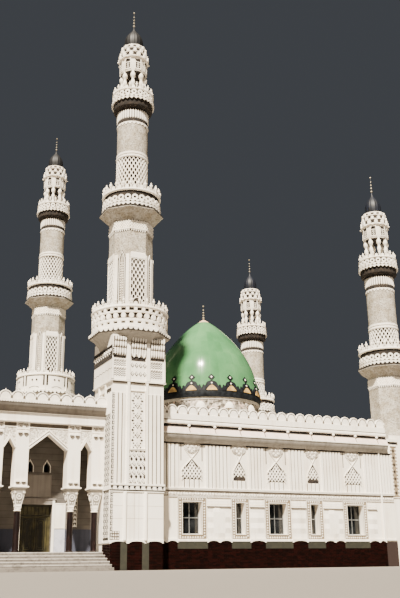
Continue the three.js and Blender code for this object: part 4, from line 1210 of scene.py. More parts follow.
def drops(start, end, up, count, depth, out=0.07):
    """Hanging points under a string, side by side from start to end."""
    step = (end - start) / count
    one = plate([(-step / 2, 0), (-step * 0.3, -depth * 0.7), (0, -depth),
                 (step * 0.3, -depth * 0.7), (step / 2, 0)], (0, 1), (out, 1))
    return copies(one, start + step * (np.arange(count) + 0.5), up)


x, y = TALL["tall_front"]
face, bed, left_face = ((0.0, TALL_HALF, x, y), (0.0, BED_FACE, x, y),
                        (math.radians(270), TALL_HALF, x, y))
white, holes, lines = foot_face(STRING_TOP, TALL_FOOT_TOP)
rings, low_holes = low_lattice()
string = joined(slab(-1.55, 1.55, 4.27, STRING_TOP, 0, 0.1),
                slab(-1.53, 1.53, 3.93, 3.97, 0, 0.05))
curl = plate([(-0.05, 0.0), (-0.065, -0.11), (-0.02, -0.2), (0.02, -0.23), (0.05, -0.19),
              (0.02, -0.14), (0.065, -0.1), (0.05, 0.0)], (0, 1), (0.07, 0.9))
curls = copies(curl, np.linspace(-1.44, 1.44, 10), 4.275, wide=1.25)
# The string's ground is painted dark as shade.
string_ground = slab(-1.53, 1.53, 3.972, 4.268, 0, 0.02)
half_columns = copies(rib([(0, 1.48), (0, 3.93)], 0.24, 0.13, front=0.3), [-0.685, 0.485])
skirt = hanging_edge(-TALL_HALF, TALL_HALF, 3, 1.5, 1.33, 0.11, 0.0, 0.035)
vent = copies(plate(rhomb(0.1, 0.12), (0, 1), (0.03, 0.6)), [[-1.29], [-1.16], [-1.03]],
              [1.58, 1.73, 1.88])
joints = joined(copies(slab(-TALL_HALF, TALL_HALF, -0.012, 0.012, 0, 0.004), 0, [2.58, 3.22]),
                copies(slab(-0.012, 0.012, 1.4, 3.96, 0, 0.004), [-0.15, 0.1]))
# Painted shade: the reeds' grooves, the ground behind the vents, and strips under the ledge between
# the pilasters.
shade_marks = joined(lines, slab(-1.36, -0.96, 1.51, 1.95, 0, 0.006),
              copies(slab(-0.42, 0.42, 9.74, 9.838, 0, 0.05), [-1.06, -0.06, 1.06]))
mortar = lime_plaster("dark_mortar_bed", "24140F", "1A0E0A")
green = joined(slab(-0.9, -0.54, 0.006, 1.47, 0, 0.075), slab(0.3, 0.68, 0.006, 1.47, 0, 0.075))
for suffix, shape, where, finish in (
        ("face_relief", joined(white, rings, string, curls, half_columns, skirt, vent), face,
         plaster),
        ("ashlar_joints", joints, face, ashlar_line),
        ("deep_holes", joined(holes, low_holes, string_ground), face, painted_shadow),
        ("mortar_bed", slab(-BED_FACE, BED_FACE, 0.006, 1.44, 0, 0.0525), bed, mortar),
        ("dust_lines", shade_marks, face, shade_and_joints),
        ("bricks", brickwork(-BED_FACE, BED_FACE, 0.006, 19, 0.0, BRICKS_PROUD), bed, brick)):
    put("tall_front_" + suffix, stand(shape, *where), finish)
put("tall_front_green_slabs", stand(green, *bed), stone_green, "stone")
for side, turn, start, end in (("left", 270, 0.34, BED_FACE), ("right", 90, -BED_FACE, -0.34)):
    shape = brickwork(start, end, 0.006, 17, 0.0, BRICKS_PROUD)
    put("tall_front_bricks_" + side, stand(shape, math.radians(turn), BED_FACE, x, y), brick)
parts = [(suffix, shape, finish) for (suffix, finish), shape in zip(
    (("relief", plaster), ("holes", painted_shadow), ("lines", shade_and_joints)),
    foot_face(8.07, TALL_FOOT_TOP))]
for name, (x, y) in TALL.items():
    for turn in (90, 180, 270) if name == "tall_front" else (0, 90, 180, 270):
        for suffix, shape, finish in parts:
            put(f"{name}_upper_{suffix}_{turn}",
                stand(shape, math.radians(turn), TALL_HALF, x, y), finish)
# Scrolls and flowers run up the front one's left face and up the left corner of its front,
# on grounds painted dark as shade.
scrolls = joined(
    copies(ring_relief(0.095, 0.016), [[0.58], [0.86], [1.14], [1.36]], np.arange(1.7, 9.4, 0.3)),
    copies(flower(0.07, 0.0, 0.016), [[0.72], [1.0], [1.26]], np.arange(1.85, 9.3, 0.3)),
    slab(0.4, 0.45, 1.4, 9.5, 0, 0.05), slab(1.45, 1.5, 1.4, 9.5, 0, 0.05))
corner = joined(copies(ring_relief(0.065, 0.025), -1.42, np.arange(1.6, 9.2, 0.29)),
                copies(flower(0.05, 0.0, 0.025), -1.41, np.arange(1.745, 9.1, 0.29)))
for suffix, shape, where, finish in (
        ("left_scrolls", scrolls, left_face, plaster),
        ("left_ground", slab(0.45, 1.45, 1.5, 9.5, 0, 0.008), left_face, painted_shadow),
        ("corner_scrolls", corner, face, plaster),
        ("corner_ground", slab(-1.5, -1.355, 1.5, 9.2, 0, 0.008), face, painted_shadow)):
    put("tall_front_" + suffix, stand(shape, *where), finish)

# Right end of the front: on the short minaret's foot an upright strip of pierced work under
# a ledge, on a ground painted as shade, with its holes and a strip under the ledge painted dark
# as shade, and beside it a white painted rainwater pipe on the wall.
ups = np.arange(4.3, 7.3, 0.22)
strip = joined(rib(rectangle(8.5, 9.06, 4.12, 7.36), 0.05, 0.05, closed=True),
               copies(ring_rhomb(0.1, 0.16, 0.35, 0.04), [[8.6], [8.96]], ups),
               slab(8.22, 9.12, 7.62, 7.8, 0, 0.12))
diamonds = joined(pits(0.2, 0.22, 8.78, np.arange(4.41, 7.3, 0.44)),
                  slab(8.22, 9.12, 7.5, 7.62, 0, 0.03))
FRONT_FACE = 9.54
for suffix, shape, finish in (
        ("strip", strip, plaster),
        ("ground", slab(8.5, 9.06, 4.12, 7.36, 0, 0.008), carving_shade),
        ("holes", diamonds, painted_shadow)):
    put("short_front_foot_" + suffix, stand(shape, 0.0, FRONT_FACE), finish)
pipe = turned([(0.055, 1.48), (0.055, 7.3)], 12)
put("rainwater_pipe", stand(pipe, 0, 0, 7.56, -9.61), plaster)

# Block under the low gallery, tall minarets only: white plaster with pilaster strips, rings
# and zigzags in relief, a slot painted dark as shade, and tiers of hanging points under a soffit,
# painted grey as shade, that spreads to eight sides. Only the face that looks to the front has
# the full relief.
BLOCK_HALF, BLOCK_FOOT = 1.56, 9.8803
ledge_round_block = slab(-1.61, 1.61, BLOCK_FOOT, 9.915, -0.1, 0.05)


def block_face():
    """The relief on one face of the block, its gaps and slot painted dark as shade, and its
    grounds painted as shade.
    """
    strips = joined(slab(-0.76, -0.52, 9.92, 12.35, 0, 0.06),
                    slab(0.43, 0.64, 9.92, 12.35, 0, 0.06),
                    slab(-BLOCK_HALF, -1.5, 9.92, 11.1, 0, 0.05),
                    slab(1.5, BLOCK_HALF, 9.92, 11.1, 0, 0.05), ledge_round_block)
    spots = [[-0.4], [-0.155], [0.09], [0.335]], [10.3, 10.78]
    rings = copies(ring_rhomb(0.13, 0.18, 0.4, 0.045), *spots)
    wave = np.arange(10)
    zigzags, tiers, grounds, gaps = [], [], [], [pits(0.22, 0.27, *spots)]

    def zigzag(start, up, width, out):
        """A line that goes up and down by 70 mm."""
        return rib(np.column_stack((start + wave * 0.0755, up + 0.07 * (wave % 2))), width, out)

    for start in (-1.46, 0.7):
        gaps += [zigzag(start, up, 0.04, 0.008)
                 for up in (10.12, 10.23, 10.34, 10.45, 10.68, 10.79, 10.9)]
        zigzags += [zigzag(start, up, 0.05, 0.035) for up in (10.56, 11.02)]
    for start, end, count in ((-1.5, -0.78, 5), (-0.5, 0.41, 6), (0.66, 1.5, 6)):
        step = (end - start) / count
        for k, (low, high) in enumerate(((11.25, 11.7), (11.7, 12.05), (12.05, 12.32))):
            out, tall = 0.05 + 0.05 * k, high - low
            grounds.append(slab(start, end, low, high, 0, out))
            drop = plate([(-0.32 * step, 0), (-0.34 * step, -0.55 * tall), (0, -0.97 * tall),
                          (0.34 * step, -0.55 * tall), (0.32 * step, 0)], (0, 1), (0.06, 0.8))
            tiers.append(copies(drop, start + step * (np.arange(count) + 0.5), high, out))
        if start != -0.5:
            gaps.append(slab(start, end, 11.12, 11.25, 0, 0.02))
    gaps += [slab(-0.46, 0.39, 11.03, 11.27, 0, 0.012), slab(-1.55, -1.36, 11.25, 11.72, 0, 0.07)]
    tiers.append(drops(-0.47, 0.4, 11.45, 3, 0.24, 0.075))
    tiers.append(copies(slab(-1.55, -1.37, 11.36, 11.4, 0, 0.1), 0, [0, 0.13, 0.26]))
    return joined(strips, rings, *zigzags, *tiers), joined(*gaps), joined(*grounds)


def plain_side():
    """The other faces of the block: bare but for a wavy line painted as shade, and a band of curls
    between two dark ones, its ground and those bands painted dark as shade, under the soffit's
    spread."""
    wave = np.linspace(-1.5, 1.5, 25)
    line = rib(np.column_stack((wave, 10.55 + 0.04 * np.cos(wave * 12))), 0.035, 0.006)
    curls = joined(copies(ring_relief(0.1, 0.05), np.linspace(-1.38, 1.38, 9), 11.55, 0.03),
                   copies(flower(0.06, 0.0, 0.05), np.linspace(-1.2, 1.2, 8), 11.38, 0.03))
    dark = joined(*(slab(-BLOCK_HALF, BLOCK_HALF, up0, up1, 0, out) for up0, up1, out in (
        (11.08, 11.28, 0.02), (11.31, 11.74, 0.03), (11.76, 11.84, 0.05))))
    return joined(curls, ledge_round_block), dark, line


block = slab(-BLOCK_HALF, BLOCK_HALF, BLOCK_FOOT, 12.45, -BLOCK_HALF, BLOCK_HALF)
white, gaps, grounds = (
    joined(upright(stand(front_face, 0.0, BLOCK_HALF)),
           upright(stand(side_face, np.arange(1, 4) * np.pi / 2, BLOCK_HALF)))
    for front_face, side_face in zip(block_face(), plain_side()))
soffit = turned([(1.5, 11.69), (1.64, 11.7), (1.76, 12.1), (2.0, 12.42), (2.27, 12.6),
                 (2.29, 12.66), (2.29, 12.77), (1.5, 12.77)], 8)

# Low gallery of the tall minarets: a fringed lip on the eight-sided soffit, a floor, and a
# round wall with its rail. A doorway in the shaft's front face, drawn as a plate painted dark
# as shade, opens on to it; the gap under the lip is painted shade too.
tooth = plate([(-0.125, 0.1), (-0.12, 0.0), (-0.07, -0.06), (0, -0.085), (0.07, -0.06),
               (0.12, 0.0), (0.125, 0.1)], (-0.1, 1), (0.03, 1))
fringe = upright(stand(copies(tooth, (np.arange(6) - 2.5) * 0.3, 12.74), EIGHT_WAYS,
                       2.38 * math.cos(math.pi / 8) - 0.04))
lip = turned([(2.0, 12.785), (2.34, 12.785), (2.34, 12.84), (2.25, 12.86), (2.0, 12.86)], 8, True)
edge_gap = turned([(2.1, 12.65), (2.35, 12.65), (2.35, 12.784), (2.1, 12.784)], 8, True)
floor = turned([(0.5, 12.8), (2.05, 12.8), (2.05, 12.95), (0.5, 12.95)], 32)
rail = joined(ringed(2.0, 2.24, 13.97, 14.13, bevel=0.05), ringed(2.0, 2.14, 14.1, 14.18))
# The front one's wall has dashes, a row of thirty rosettes, and slots under a broad rail,
# before a core painted dark as shade.
ROSETTES = 30
front_white = joined(
    ringed(2.0, 2.19, 12.8, 13.04), ringed(2.0, 2.19, 13.17, 13.33),
    ringed(2.0, 2.19, 13.67, 13.78), rail,
    upright(around(slab(-0.11, 0.11, 13.03, 13.18, -0.12, 0.0), ROSETTES, 2.18)),
    upright(around(plate(ROUND_EDGE * (0.15, 0.19), (-0.1, 1), (0.03, 0.85)), ROSETTES, 2.17,
                   13.5, 0.5)),
    upright(around(slab(-0.085, 0.085, 13.77, 13.98, -0.12, 0.0), ROSETTES, 2.2)))
front_dark = ringed(2.02, 2.08, 12.85, 14.0, bevel=0.005)
# The back one's wall has eight panels with two deep holes each, between pairs of slots:
# holes, slots and brows are plates painted dark as shade.
centres = EIGHT_WAYS - math.radians(15.0)
slots = joined(*(slab(along - 0.06, along + 0.06, 13.2, 13.93, -0.06, 0.012)
                 for along in (-0.13, 0.13)))
dots = copies(plate(rhomb(0.16, 0.2), (-0.06, 1), (0.012, 1)), [-0.17, 0.17], 13.62)
brow = rib(np.column_stack((np.linspace(-0.4, 0.4, 7),
                            13.02 + 0.1 * np.cos(np.linspace(-1.5, 1.5, 7)))), 0.035, 0.008)
back_white = joined(ringed(2.0, 2.16, 12.8, 14.0), rail,
                    upright(stand(rib([(0, 12.9), (0, 13.96)], 0.12, 0.05), centres, 2.16)))
back_dark = joined(upright(stand(slots, centres, 2.16)),
                   upright(stand(joined(dots, brow), centres + np.pi / 8, 2.16)),
                   ringed(2.0, 2.175, 13.925, 13.972, bevel=0.002))


def round_headed(half, foot, spring, rise):
    """From the right foot over a round head to the left one: in the head, half times the cosine
    along, and the rise times the sine over the spring."""
    way = np.linspace(0, np.pi, 9)
    head = np.column_stack((half * np.cos(way), spring + rise * np.sin(way)))
    return np.concatenate(([(half, foot)], head, [(-half, foot)]))


door_edge = round_headed(0.28, 12.95, 14.56, 0.28)
doorway = copies(plate(door_edge, (0, 1), (0.062, 1)), -0.04, 0, 1.192)
door_rim = copies(rib(door_edge, 0.07, 0.09), -0.04, 0, 1.192)
crown = rail_crown(ROSETTES, 2.14, 14.12, 0.48)
for name, wall_white, wall_dark in (("tall_front", front_white, front_dark),
                                    ("tall_back", back_white, back_dark)):
    spot = {name: TALL[name]}
    dress(spot, "_low_gallery_plaster",
          joined(white, block, fringe, lip, wall_white, door_rim, crown), plaster,
          node="_low_gallery")
    dress(spot, "_low_gallery_shadow", joined(gaps, edge_gap, wall_dark, doorway), painted_shadow)
dress(TALL, "_low_gallery_dust", grounds, shade_and_joints)
dress(TALL, "_low_gallery_soffit", joined(soffit, floor), shade_grey)

# Roof: a concrete slab in two halves under grey lime screed, with dust blown over it. The
# solids have its shape already, so that only the finish is given here.
coat(lime_plaster("grey_roof_screed", "A9A296", "847C70"), "roof_left", "roof_right")

# Drum: rendered with stone chippings, pale and dark, under a smooth band. Twelve windows
# round it are pairs of narrow lights, each pair under a white plaster hood.
DOME_X, DOME_Y = middle_of("drum")
DRUM, DOME = {"drum": (DOME_X, DOME_Y)}, {"dome": (DOME_X, DOME_Y)}
DRUM_R, LIGHTS, LIGHT_SILL = 3.93, 12, 9.5
chippings, tree, shader, place = new_finish("stone_chipping_render", 0.85)
chips = add_node(tree, "TexVoronoi", {"Vector": place, "Scale": 6.5})
tone = add_node(tree, "SeparateColor", {"Color": chips.outputs["Color"]})
chip_colour = spread(tree, tone.outputs[0], [(0.1, "4A443D"), (0.3, "7A7268"), (0.6, "A59D91"),
                                             (0.85, "DDD3C4"), (1.0, "D8B7A4")])
bump = add_node(tree, "Bump", {"Height": chips.outputs["Distance"], "Strength": 0.6,
                               "Distance": 0.03})
bump.invert = True
wire(shader, chip_colour, bump)
coat(chippings, "drum")


def hood(half, foot, height, out):
    """Half a flattened ball over a window: at each height its rim is a half circle whose size
    is the root of one minus the height's square."""
    way = np.linspace(0, np.pi, 13)
    rings = []
    for share in (0.0, 0.25, 0.5, 0.7, 0.85, 0.95, 0.995):
        size = math.sqrt(1 - share * share)
        rings.append(np.column_stack((half * size * np.cos(way),
                                      np.full(13, foot + share * height),
                                      out * size * np.sin(way) - 0.08)))
    return loft(rings)


dressing = joined(hood(0.36, 10.4, 0.48, 0.3), slab(-0.03, 0.03, LIGHT_SILL, 10.4, -0.06, 0.03),
                  rib(round_headed(0.21, LIGHT_SILL, 10.15, 0.21), 0.07, 0.06, -0.05),
                  slab(-0.3, 0.3, LIGHT_SILL - 0.08, LIGHT_SILL, -0.05, 0.1))
dress(DRUM, "_hoods", upright(around(dressing, LIGHTS, DRUM_R)), plaster)
smooth_render = lime_plaster("smooth_grey_render", "CCC6BB", "A8A195")
band = joined(ringed(3.8, 3.955, 10.98, 11.1697, 96, 0.01), ringed(3.8, 3.965, 8.5, 8.62, 96, 0.01))
dress(DRUM, "_band", band, smooth_render, "stone")

# Dome: a pointed shell covered in pale green glazed tile, glossy, in 36 faint gores, on a
# near black band. Black stepped frames round gold lunettes stand on the band, and over
# each is a black lozenge with a white heart.
GORES = 36
DOME_LINE = np.array([(4.04, 11.6), (4.016, 11.88), (3.98, 12.04), (3.9, 12.35), (3.83, 12.7),
                      (3.72, 13.11), (3.62, 13.48), (3.48, 13.86), (3.31, 14.25), (3.11, 14.63),
                      (2.87, 15.03), (2.61, 15.41), (2.31, 15.79), (1.96, 16.18), (1.6, 16.56),
                      (1.19, 16.93), (0.88, 17.19), (0.56, 17.42)])
way, knots = np.linspace(0, 1, 65), np.linspace(0, 1, len(DOME_LINE))
radii, heights = (np.interp(way, knots, DOME_LINE[:, i]) for i in (0, 1))
for _ in range(6):
    radii[1:-1] = (radii[:-2] + 2 * radii[1:-1] + radii[2:]) / 4
    heights[1:-1] = (heights[:-2] + 2 * heights[1:-1] + heights[2:]) / 4
outer = np.column_stack((radii, heights))
inner = outer[::-4] - (0.16, 0.02)
inner[inner[:, 0] < 0.3] = (0.3, 17.25)
green_tile, tree, shader, place = new_finish("pale_green_glazed_tile", 0.15,
                                             Specular_IOR_Level=0.3)
centred = add_node(tree, "Mapping", {"Vector": place, "Location": (-DOME_X, -DOME_Y, 0.0)})
apart = add_node(tree, "SeparateXYZ", {"Vector": centred.outputs[0]})
turn = add_node(tree, "Math", {0: apart.outputs["X"], 1: apart.outputs["Y"]}, operation="ARCTAN2")
gore = add_node(tree, "Math", {0: turn.outputs[0], 1: GORES / (2 * math.pi)}, operation="MULTIPLY")
level = add_node(tree, "Math", {0: apart.outputs["Z"], 1: 1.1}, operation="MULTIPLY")
cell = add_node(tree, "CombineXYZ", {"X": gore.outputs[0], "Y": level.outputs[0]})
tiles = add_node(tree, "VectorMath", {0: cell.outputs[0]}, operation="FLOOR")
chance = add_node(tree, "TexWhiteNoise", {"Vector": tiles.outputs[0]})
cloud = add_node(tree, "TexNoise", {"Vector": place, "Scale": 0.5, "Detail": 5.0})
shade = add_node(tree, "Math", {0: chance.outputs[0], 1: 0.14, 2: cloud.outputs[0]},
                 operation="MULTIPLY_ADD")
colour = spread(tree, shade.outputs[0], [(0.38, "3F7047"), (0.55, "4B7D52"), (0.75, "58895C")])
within = add_node(tree, "Math", {0: gore.outputs[0]}, operation="FRACT")
seam = add_node(tree, "Math", {0: within.outputs[0], 1: 0.5}, operation="PINGPONG")
edge = add_node(tree, "MapRange", {"Value": seam.outputs[0], "From Max": 0.06})
bump = add_node(tree, "Bump", {"Height": edge.outputs[0], "Strength": 0.25, "Distance": 0.01})
wire(shader, colour, bump)
shell = np.concatenate((outer, [(0.28, 17.6), (0.07, 17.74), (0.05, 17.3)], inner))
dress(DOME, "_covering", turned(shell, 144, True), green_tile, "dome_green", "")
tip = turned([(0.5, 17.455), (0.3, 17.61), (0.1, 17.75), (0.04, 17.78), (0.04, 17.5), (0.3, 17.4)],
             48, True)
dress(DOME, "_tip", tip, lime_plaster("tan_cement_tip", "CDAE92", "B39376"), "dome_green")
black_band = np.array([(3.74, 11.1705), (4.05, 11.1705), (4.075, 11.3), (4.08, 11.52),
                       (4.07, 11.58), (4.04, 11.5995), (3.86, 11.5995)])
black_tile = mottled("near_black_glazed_tile", 0.5, 4.0, 5.0, [(0.35, "0B0D0F"), (0.7, "22262B")],
                     Specular_IOR_Level=0.15)
dress(DOME, "_black_band", turned(black_band, 144, True), black_tile, "cap_dark", "_band")


def awning(alongs, lows, highs, out):
    """A flat shape given by its lower and upper edge at each step along, out metres thick."""
    return loft([[(a, low, -0.02), (a, high, -0.02), (a, high, out), (a, low, out)]
                 for a, low, high in zip(alongs, lows, highs)])


def on_dome(shape, count, foot=4.0, shift=0.07):
    """Copies laid on the dome, all turned by the shift, a share of a step: along turns into an
    angle at the foot's radius, up stays a height, and out is added to the radius there."""
    points, corners, counts = copies(shape, (np.arange(count) + shift) * 2 * np.pi * foot / count)
    turn = points[:, 0] / foot
    radius = np.interp(points[:, 1], heights, radii) + points[:, 2]
    return (np.column_stack((DOME_X + radius * np.sin(turn), DOME_Y - radius * np.cos(turn),
                             points[:, 1])), corners, counts)


def diamond(middle, half, tall, out, count):
    """A lozenge about its middle height, whose edges fall evenly from tall to almost nothing."""
    alongs = np.linspace(-half, half, count)
    rise = tall * (1.02 - np.abs(alongs) / half)
    return awning(alongs, middle - rise, middle + rise, out)


SCALLOPS, LOZENGES_UP, BEADS_UP = 18, 12.55, 12.11
half_edge = np.array([(0, 12.42), (0.03, 12.34), (0.08, 12.28), (0.2, 12.24), (0.3, 12.2),
                      (0.37, 12.12), (0.41, 12.0), (0.45, 11.93), (0.49, 11.93), (0.54, 12.0),
                      (0.59, 12.0), (0.63, 11.93), (0.66, 11.82), (0.698, 11.76)])
edge = np.concatenate((half_edge[:0:-1] * (-1, 1), half_edge))
frames = awning(edge[:, 0], np.full(len(edge), 11.58), edge[:, 1], 0.045)
lozenge = diamond(LOZENGES_UP, 0.24, 0.225, 0.045, 9)
neck = slab(-0.05, 0.05, 12.3, 12.4, -0.02, 0.045)
put("dome_black_frames", on_dome(joined(frames, lozenge, neck), SCALLOPS), black_tile, "cap_dark")
alongs = np.linspace(-0.355, 0.355, 15)
lunette = awning(alongs, np.full(15, 11.6), 11.63 + 0.34 * (1 - (np.abs(alongs) / 0.36) ** 1.6),
                 0.065)
gold_tile = mottled("gold_ochre_glazed_tile", 0.4, 1.7, 5.0, [(0.35, "96754C"), (0.6, "D2B068")])
put("dome_gold_lunettes", on_dome(lunette, SCALLOPS), gold_tile, "dome_green")
alongs = np.linspace(-0.05, 0.05, 5)
rise = np.sqrt(0.0026 - alongs ** 2)
beads = awning(alongs, BEADS_UP - rise, BEADS_UP + rise, 0.06)
hearts = joined(diamond(LOZENGES_UP, 0.07, 0.08, 0.06, 5), beads)
put("dome_white_hearts", on_dome(hearts, SCALLOPS), plaster)
rod, balls = finial(17.7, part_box("dome")[1].z, 0.07, 4)
dress(DOME, "_finial", rod, black_glaze, "cap_dark")
dress(DOME, "_finial_balls", balls, pale_brass, "bronze")

# Porch columns: polished dark maroon marble shafts on small bases. The spreading capitals
# and the square blocks over them are carved white stone, with a round medallion; its ground
# and the spread under each block are painted grey as shade.
PORCH_X, PORCH_FRONT, PORCH_START, PORCH_END = -13.775, 9.54, -16.85, -10.7006
PIER_OFFSETS, PIER_HALF = np.array([-2.725, -1.395, 1.395, 2.725]), 0.35
COLUMN_Y = -PORCH_FRONT + PIER_HALF
maroon, tree, shader, place = new_finish("polished_maroon_marble", 0.4,
                                         Specular_IOR_Level=0.25)
bent = add_node(tree, "Mapping", {"Vector": place, "Scale": (3.0, 3.0, 1.2)})
veins = add_node(tree, "TexNoise", {"Vector": bent.outputs[0], "Scale": 2.0, "Detail": 8.0,
                                    "Distortion": 1.0})
wire(shader, spread(tree, veins.outputs[0], [(0.4, "0A0404"), (0.6, "160A0A"), (0.75, "2A1816")]))
shaft = turned([(0.2, 0.9305), (0.2, 0.975), (0.18, 0.99), (0.158, 1.02), (0.155, 2.96)], 32)
neck_rings = joined(ringed(0.1, 0.19, 2.95, 3.01, 32), ringed(0.1, 0.15, 3.01, 3.1, 32, 0.01))
BELL = np.array([(0.145, 3.08), (0.15, 3.2), (0.18, 3.35), (0.22, 3.55), (0.26, 3.75), (0.29, 3.9),
                 (0.3, 3.92), (0.3, 3.98), (0.25, 3.982)])
bell = turned(BELL * (math.sqrt(2), 1), 4)


def lean(shape):
    """Laid on the bell: up is a height, and out is added to the bell's half width there."""
    points, corners, counts = shape
    out = np.interp(points[:, 1], BELL[:7, 1], BELL[:7, 0]) + points[:, 2]
    return np.column_stack((points[:, :2], out)), corners, counts


medal = joined(copies(pierced(ROUND_EDGE * 0.16, ROUND_EDGE * 0.11, 0.0, 0.04), 0, 3.68),
               copies(flower(0.075, 0.0, 0.045), 0, 3.68),
               copies(flower(0.06, 0.0, 0.05), [-0.22, 0.22], 3.87),
               copies(flower(0.045, 0.0, 0.03), [-0.07, 0.07], 3.4),
               rib([(-0.12, 3.2), (0.12, 3.2)], 0.06, 0.02))
medal_ground = plate([(-0.26, 3.9), (-0.12, 3.32), (0.12, 3.32), (0.26, 3.9)], (0, 1), (0.008, 1))
medals, grounds = (upright(stand(lean(shape), np.arange(4) * np.pi / 2))
                   for shape in (medal, medal_ground))
abacus = slab(-0.44, 0.44, 4.125, 4.1895, -0.3497, 0.44)
under_abacus = turned([(0.28 * math.sqrt(2), 3.983), (0.33 * math.sqrt(2), 4.05),
                       (0.42 * math.sqrt(2), 4.1245), (0.3, 4.1245)], 4)
for i, offset in enumerate(PIER_OFFSETS):
    x = PORCH_X + offset
    node = f"porch_column_{i + 1}"
    put(node + "_shaft", stand(shaft, 0, 0, x, COLUMN_Y), maroon, "maroon_marble", [node])
    for suffix, shape, finish in (("_capital", joined(neck_rings, bell, medals, abacus), plaster),
                                  ("_capital_dust", joined(grounds, under_abacus), shade_grey)):
        shape = stand(shape, 0, 0, x, COLUMN_Y)
        shape[0][:, 0] = np.clip(shape[0][:, 0], PORCH_START - 0.01, PORCH_END)
        put(node + suffix, shape, finish)

# Arcade: plastered masonry piers and gables over the three pointed openings. Cast in
# plaster are the double mouldings round the openings, the carved gables and piers, and
# paired brackets at the head and foot of each pier. The points under the brackets, the line
# between the mouldings and the band under the top are painted shade.
piers, carved, shadows = [], [], []
for offset in PIER_OFFSETS:
    middle = PORCH_X + offset
    low, high = max(middle - PIER_HALF, PORCH_START), min(middle + PIER_HALF, PORCH_END)
    piers += [slab(low, high, 4.19, 4.25, 0, 0.04), slab(low, high, 7.1, 7.16, 0, 0.03)]
    carved.append(slab(low + 0.05, high - 0.05, 7.2, 7.5, 0, 0.01))
    for up in (4.42, 6.93, 7.42):
        for side in (-0.15, 0.15):
            at = (low + high) / 2 + side
            piers.append(slab(at - 0.11, at + 0.11, up - 0.02, up + 0.06, 0, 0.09))
            shadows.append(plate([(at - 0.11, up - 0.021), (at - 0.1, up - 0.1), (at, up - 0.17),
                                  (at + 0.1, up - 0.1), (at + 0.11, up - 0.021)],
                                 (0, 1), (0.06, 0.8)))
SIDE_BAY = 2.06
for centre, half, spring, tip in ((PORCH_X, 1.045, 6.12, 6.96),
                                  (PORCH_X - SIDE_BAY, 0.315, 6.15, 6.68),
                                  (PORCH_X + SIDE_BAY, 0.315, 6.15, 6.68)):
    path = np.array([(centre - half, spring), (centre, tip), (centre + half, spring)])
    piers.append(rib(path, 0.1, 0.03, -0.07))
    shadows.append(rib(path + (0, 0.085), 0.05, -0.055, -0.07))
    piers.append(rib(path + (0, 0.155), 0.07, 0.01, -0.07))
    for edge in (centre - half, centre + half):
        carved.append(plate([(edge, spring + 0.2), (centre, tip + 0.14), (centre, 7.2),
                             (edge, 7.2)], (-0.069, 1), (-0.05, 1)))
    piers.append(slab(centre - half, centre + half, 7.2, 7.255, -0.07, -0.02))
    shadows.append(slab(centre - half, centre + half, 7.255, 7.449, -0.07, -0.05))
for suffix, shapes, finish in (("_relief", piers, plaster), ("_carving", carved, carved_plaster),
                               ("_gaps", shadows, shade_and_joints)):
    put("porch_arcade" + suffix, stand(joined(*shapes), 0.0, PORCH_FRONT), finish)

# Porch cornice: as the hall's, but with a tall white fascia, a hollow painted grey as shade
# under a serrated edge, and rounder lobes with small pointed tips, with shade painted on them.
PORCH_PROFILE = np.array([(0.0003, 7.45), (0.12, 7.49), (0.12, 7.93), (0.2, 7.97), (0.22, 8.05),
                          (0.28, 8.14), (0.36, 8.2), (0.42, 8.34), (0.45, 8.46), (0.48, 8.47),
                          (0.48, 8.6), (0.26, 8.6), (0.23, 8.26), (-0.08, 8.26), (-0.08, 8.0603),
                          (0.0003, 8.0603)])
start, end, _ = extent("front", "porch_parapet")
body = run(PORCH_PROFILE, start, end)
count = round((end - start) / LOBE_WIDTH)
pitch = (end - start) / count
at = start + pitch * (np.arange(count) + 0.5)
one, dark = lobe(pitch, 8.6, 9.04, 0.3, 0.42)
tips = copies(turned([(0.05, 0), (0.03, 0.04), (0.006, 0.1)], 8), at, 9.02, 0.37)
serrated = copies(drops(start, end, 8.5, round((end - start) / 0.14), 0.07, 0.02), out=0.465)
strings = [slab(start, end, low_edge, high_edge, 0.1, 0.15)
           for low_edge, high_edge in ((7.49, 7.53), (7.88, 7.93))]
hollow_shade = lime_plaster("dark_dusty_hollow", "7C756C", "665F57")
for suffix, shape, finish, nodes in (
        ("_run", joined(body, copies(one, at), tips, serrated, *strings), plaster,
         ["porch_parapet"]),
        ("_hollow", skin(PORCH_PROFILE[3:9], start, end, 0, 0), hollow_shade, ()),
        ("_gaps", copies(dark, at[:-1]), shade_and_joints, ())):
    put("porch_parapet" + suffix, stand(shape, 0.0, PORCH_FRONT), finish, replaces=nodes)

# Wall behind the porch: banded grey ashlar over a blue-grey dado, both darkened as painted
# shade, and beside the doorway a slab of the dado painted pale as sunlight. A white surround
# runs round the doorway, a bare panel in a frame over it is painted grey as shade, and a
# pierced upright strip beside it stands before a gap painted dark as shadow.
# Grey ashlar, darkened as painted shade.
banded, tree, shader, place = new_finish("grey_banded_ashlar", 0.85)
up = add_node(tree, "SeparateXYZ", {"Vector": place}).outputs["Z"]
course = add_node(tree, "Math", {0: up, 1: 0.17}, operation="PINGPONG")
joint = add_node(tree, "MapRange", {"Value": course.outputs[0], "From Max": 0.014})
clouds = add_node(tree, "TexNoise", {"Vector": place, "Scale": 1.6, "Detail": 5.0})
ground_colour = spread(tree, clouds.outputs[0], [(0.35, "544F4A"), (0.65, "66605A")])
mixed = add_node(tree, "Mix", {"Factor": joint.outputs[0], "A": linear("2E2823"),
                               "B": ground_colour}, data_type="RGBA")
bump = add_node(tree, "Bump", {"Height": joint.outputs[0], "Strength": 0.6, "Distance": 0.012})
wire(shader, mixed.outputs["Result"], bump)
coat(banded, "porch_wall_left", "porch_wall_right", "porch_wall_over_door")
# Blue-grey dado, darkened as painted shade.
blue_grey = lime_plaster("blue_grey_marble_dado", "3E4150", "282B38")
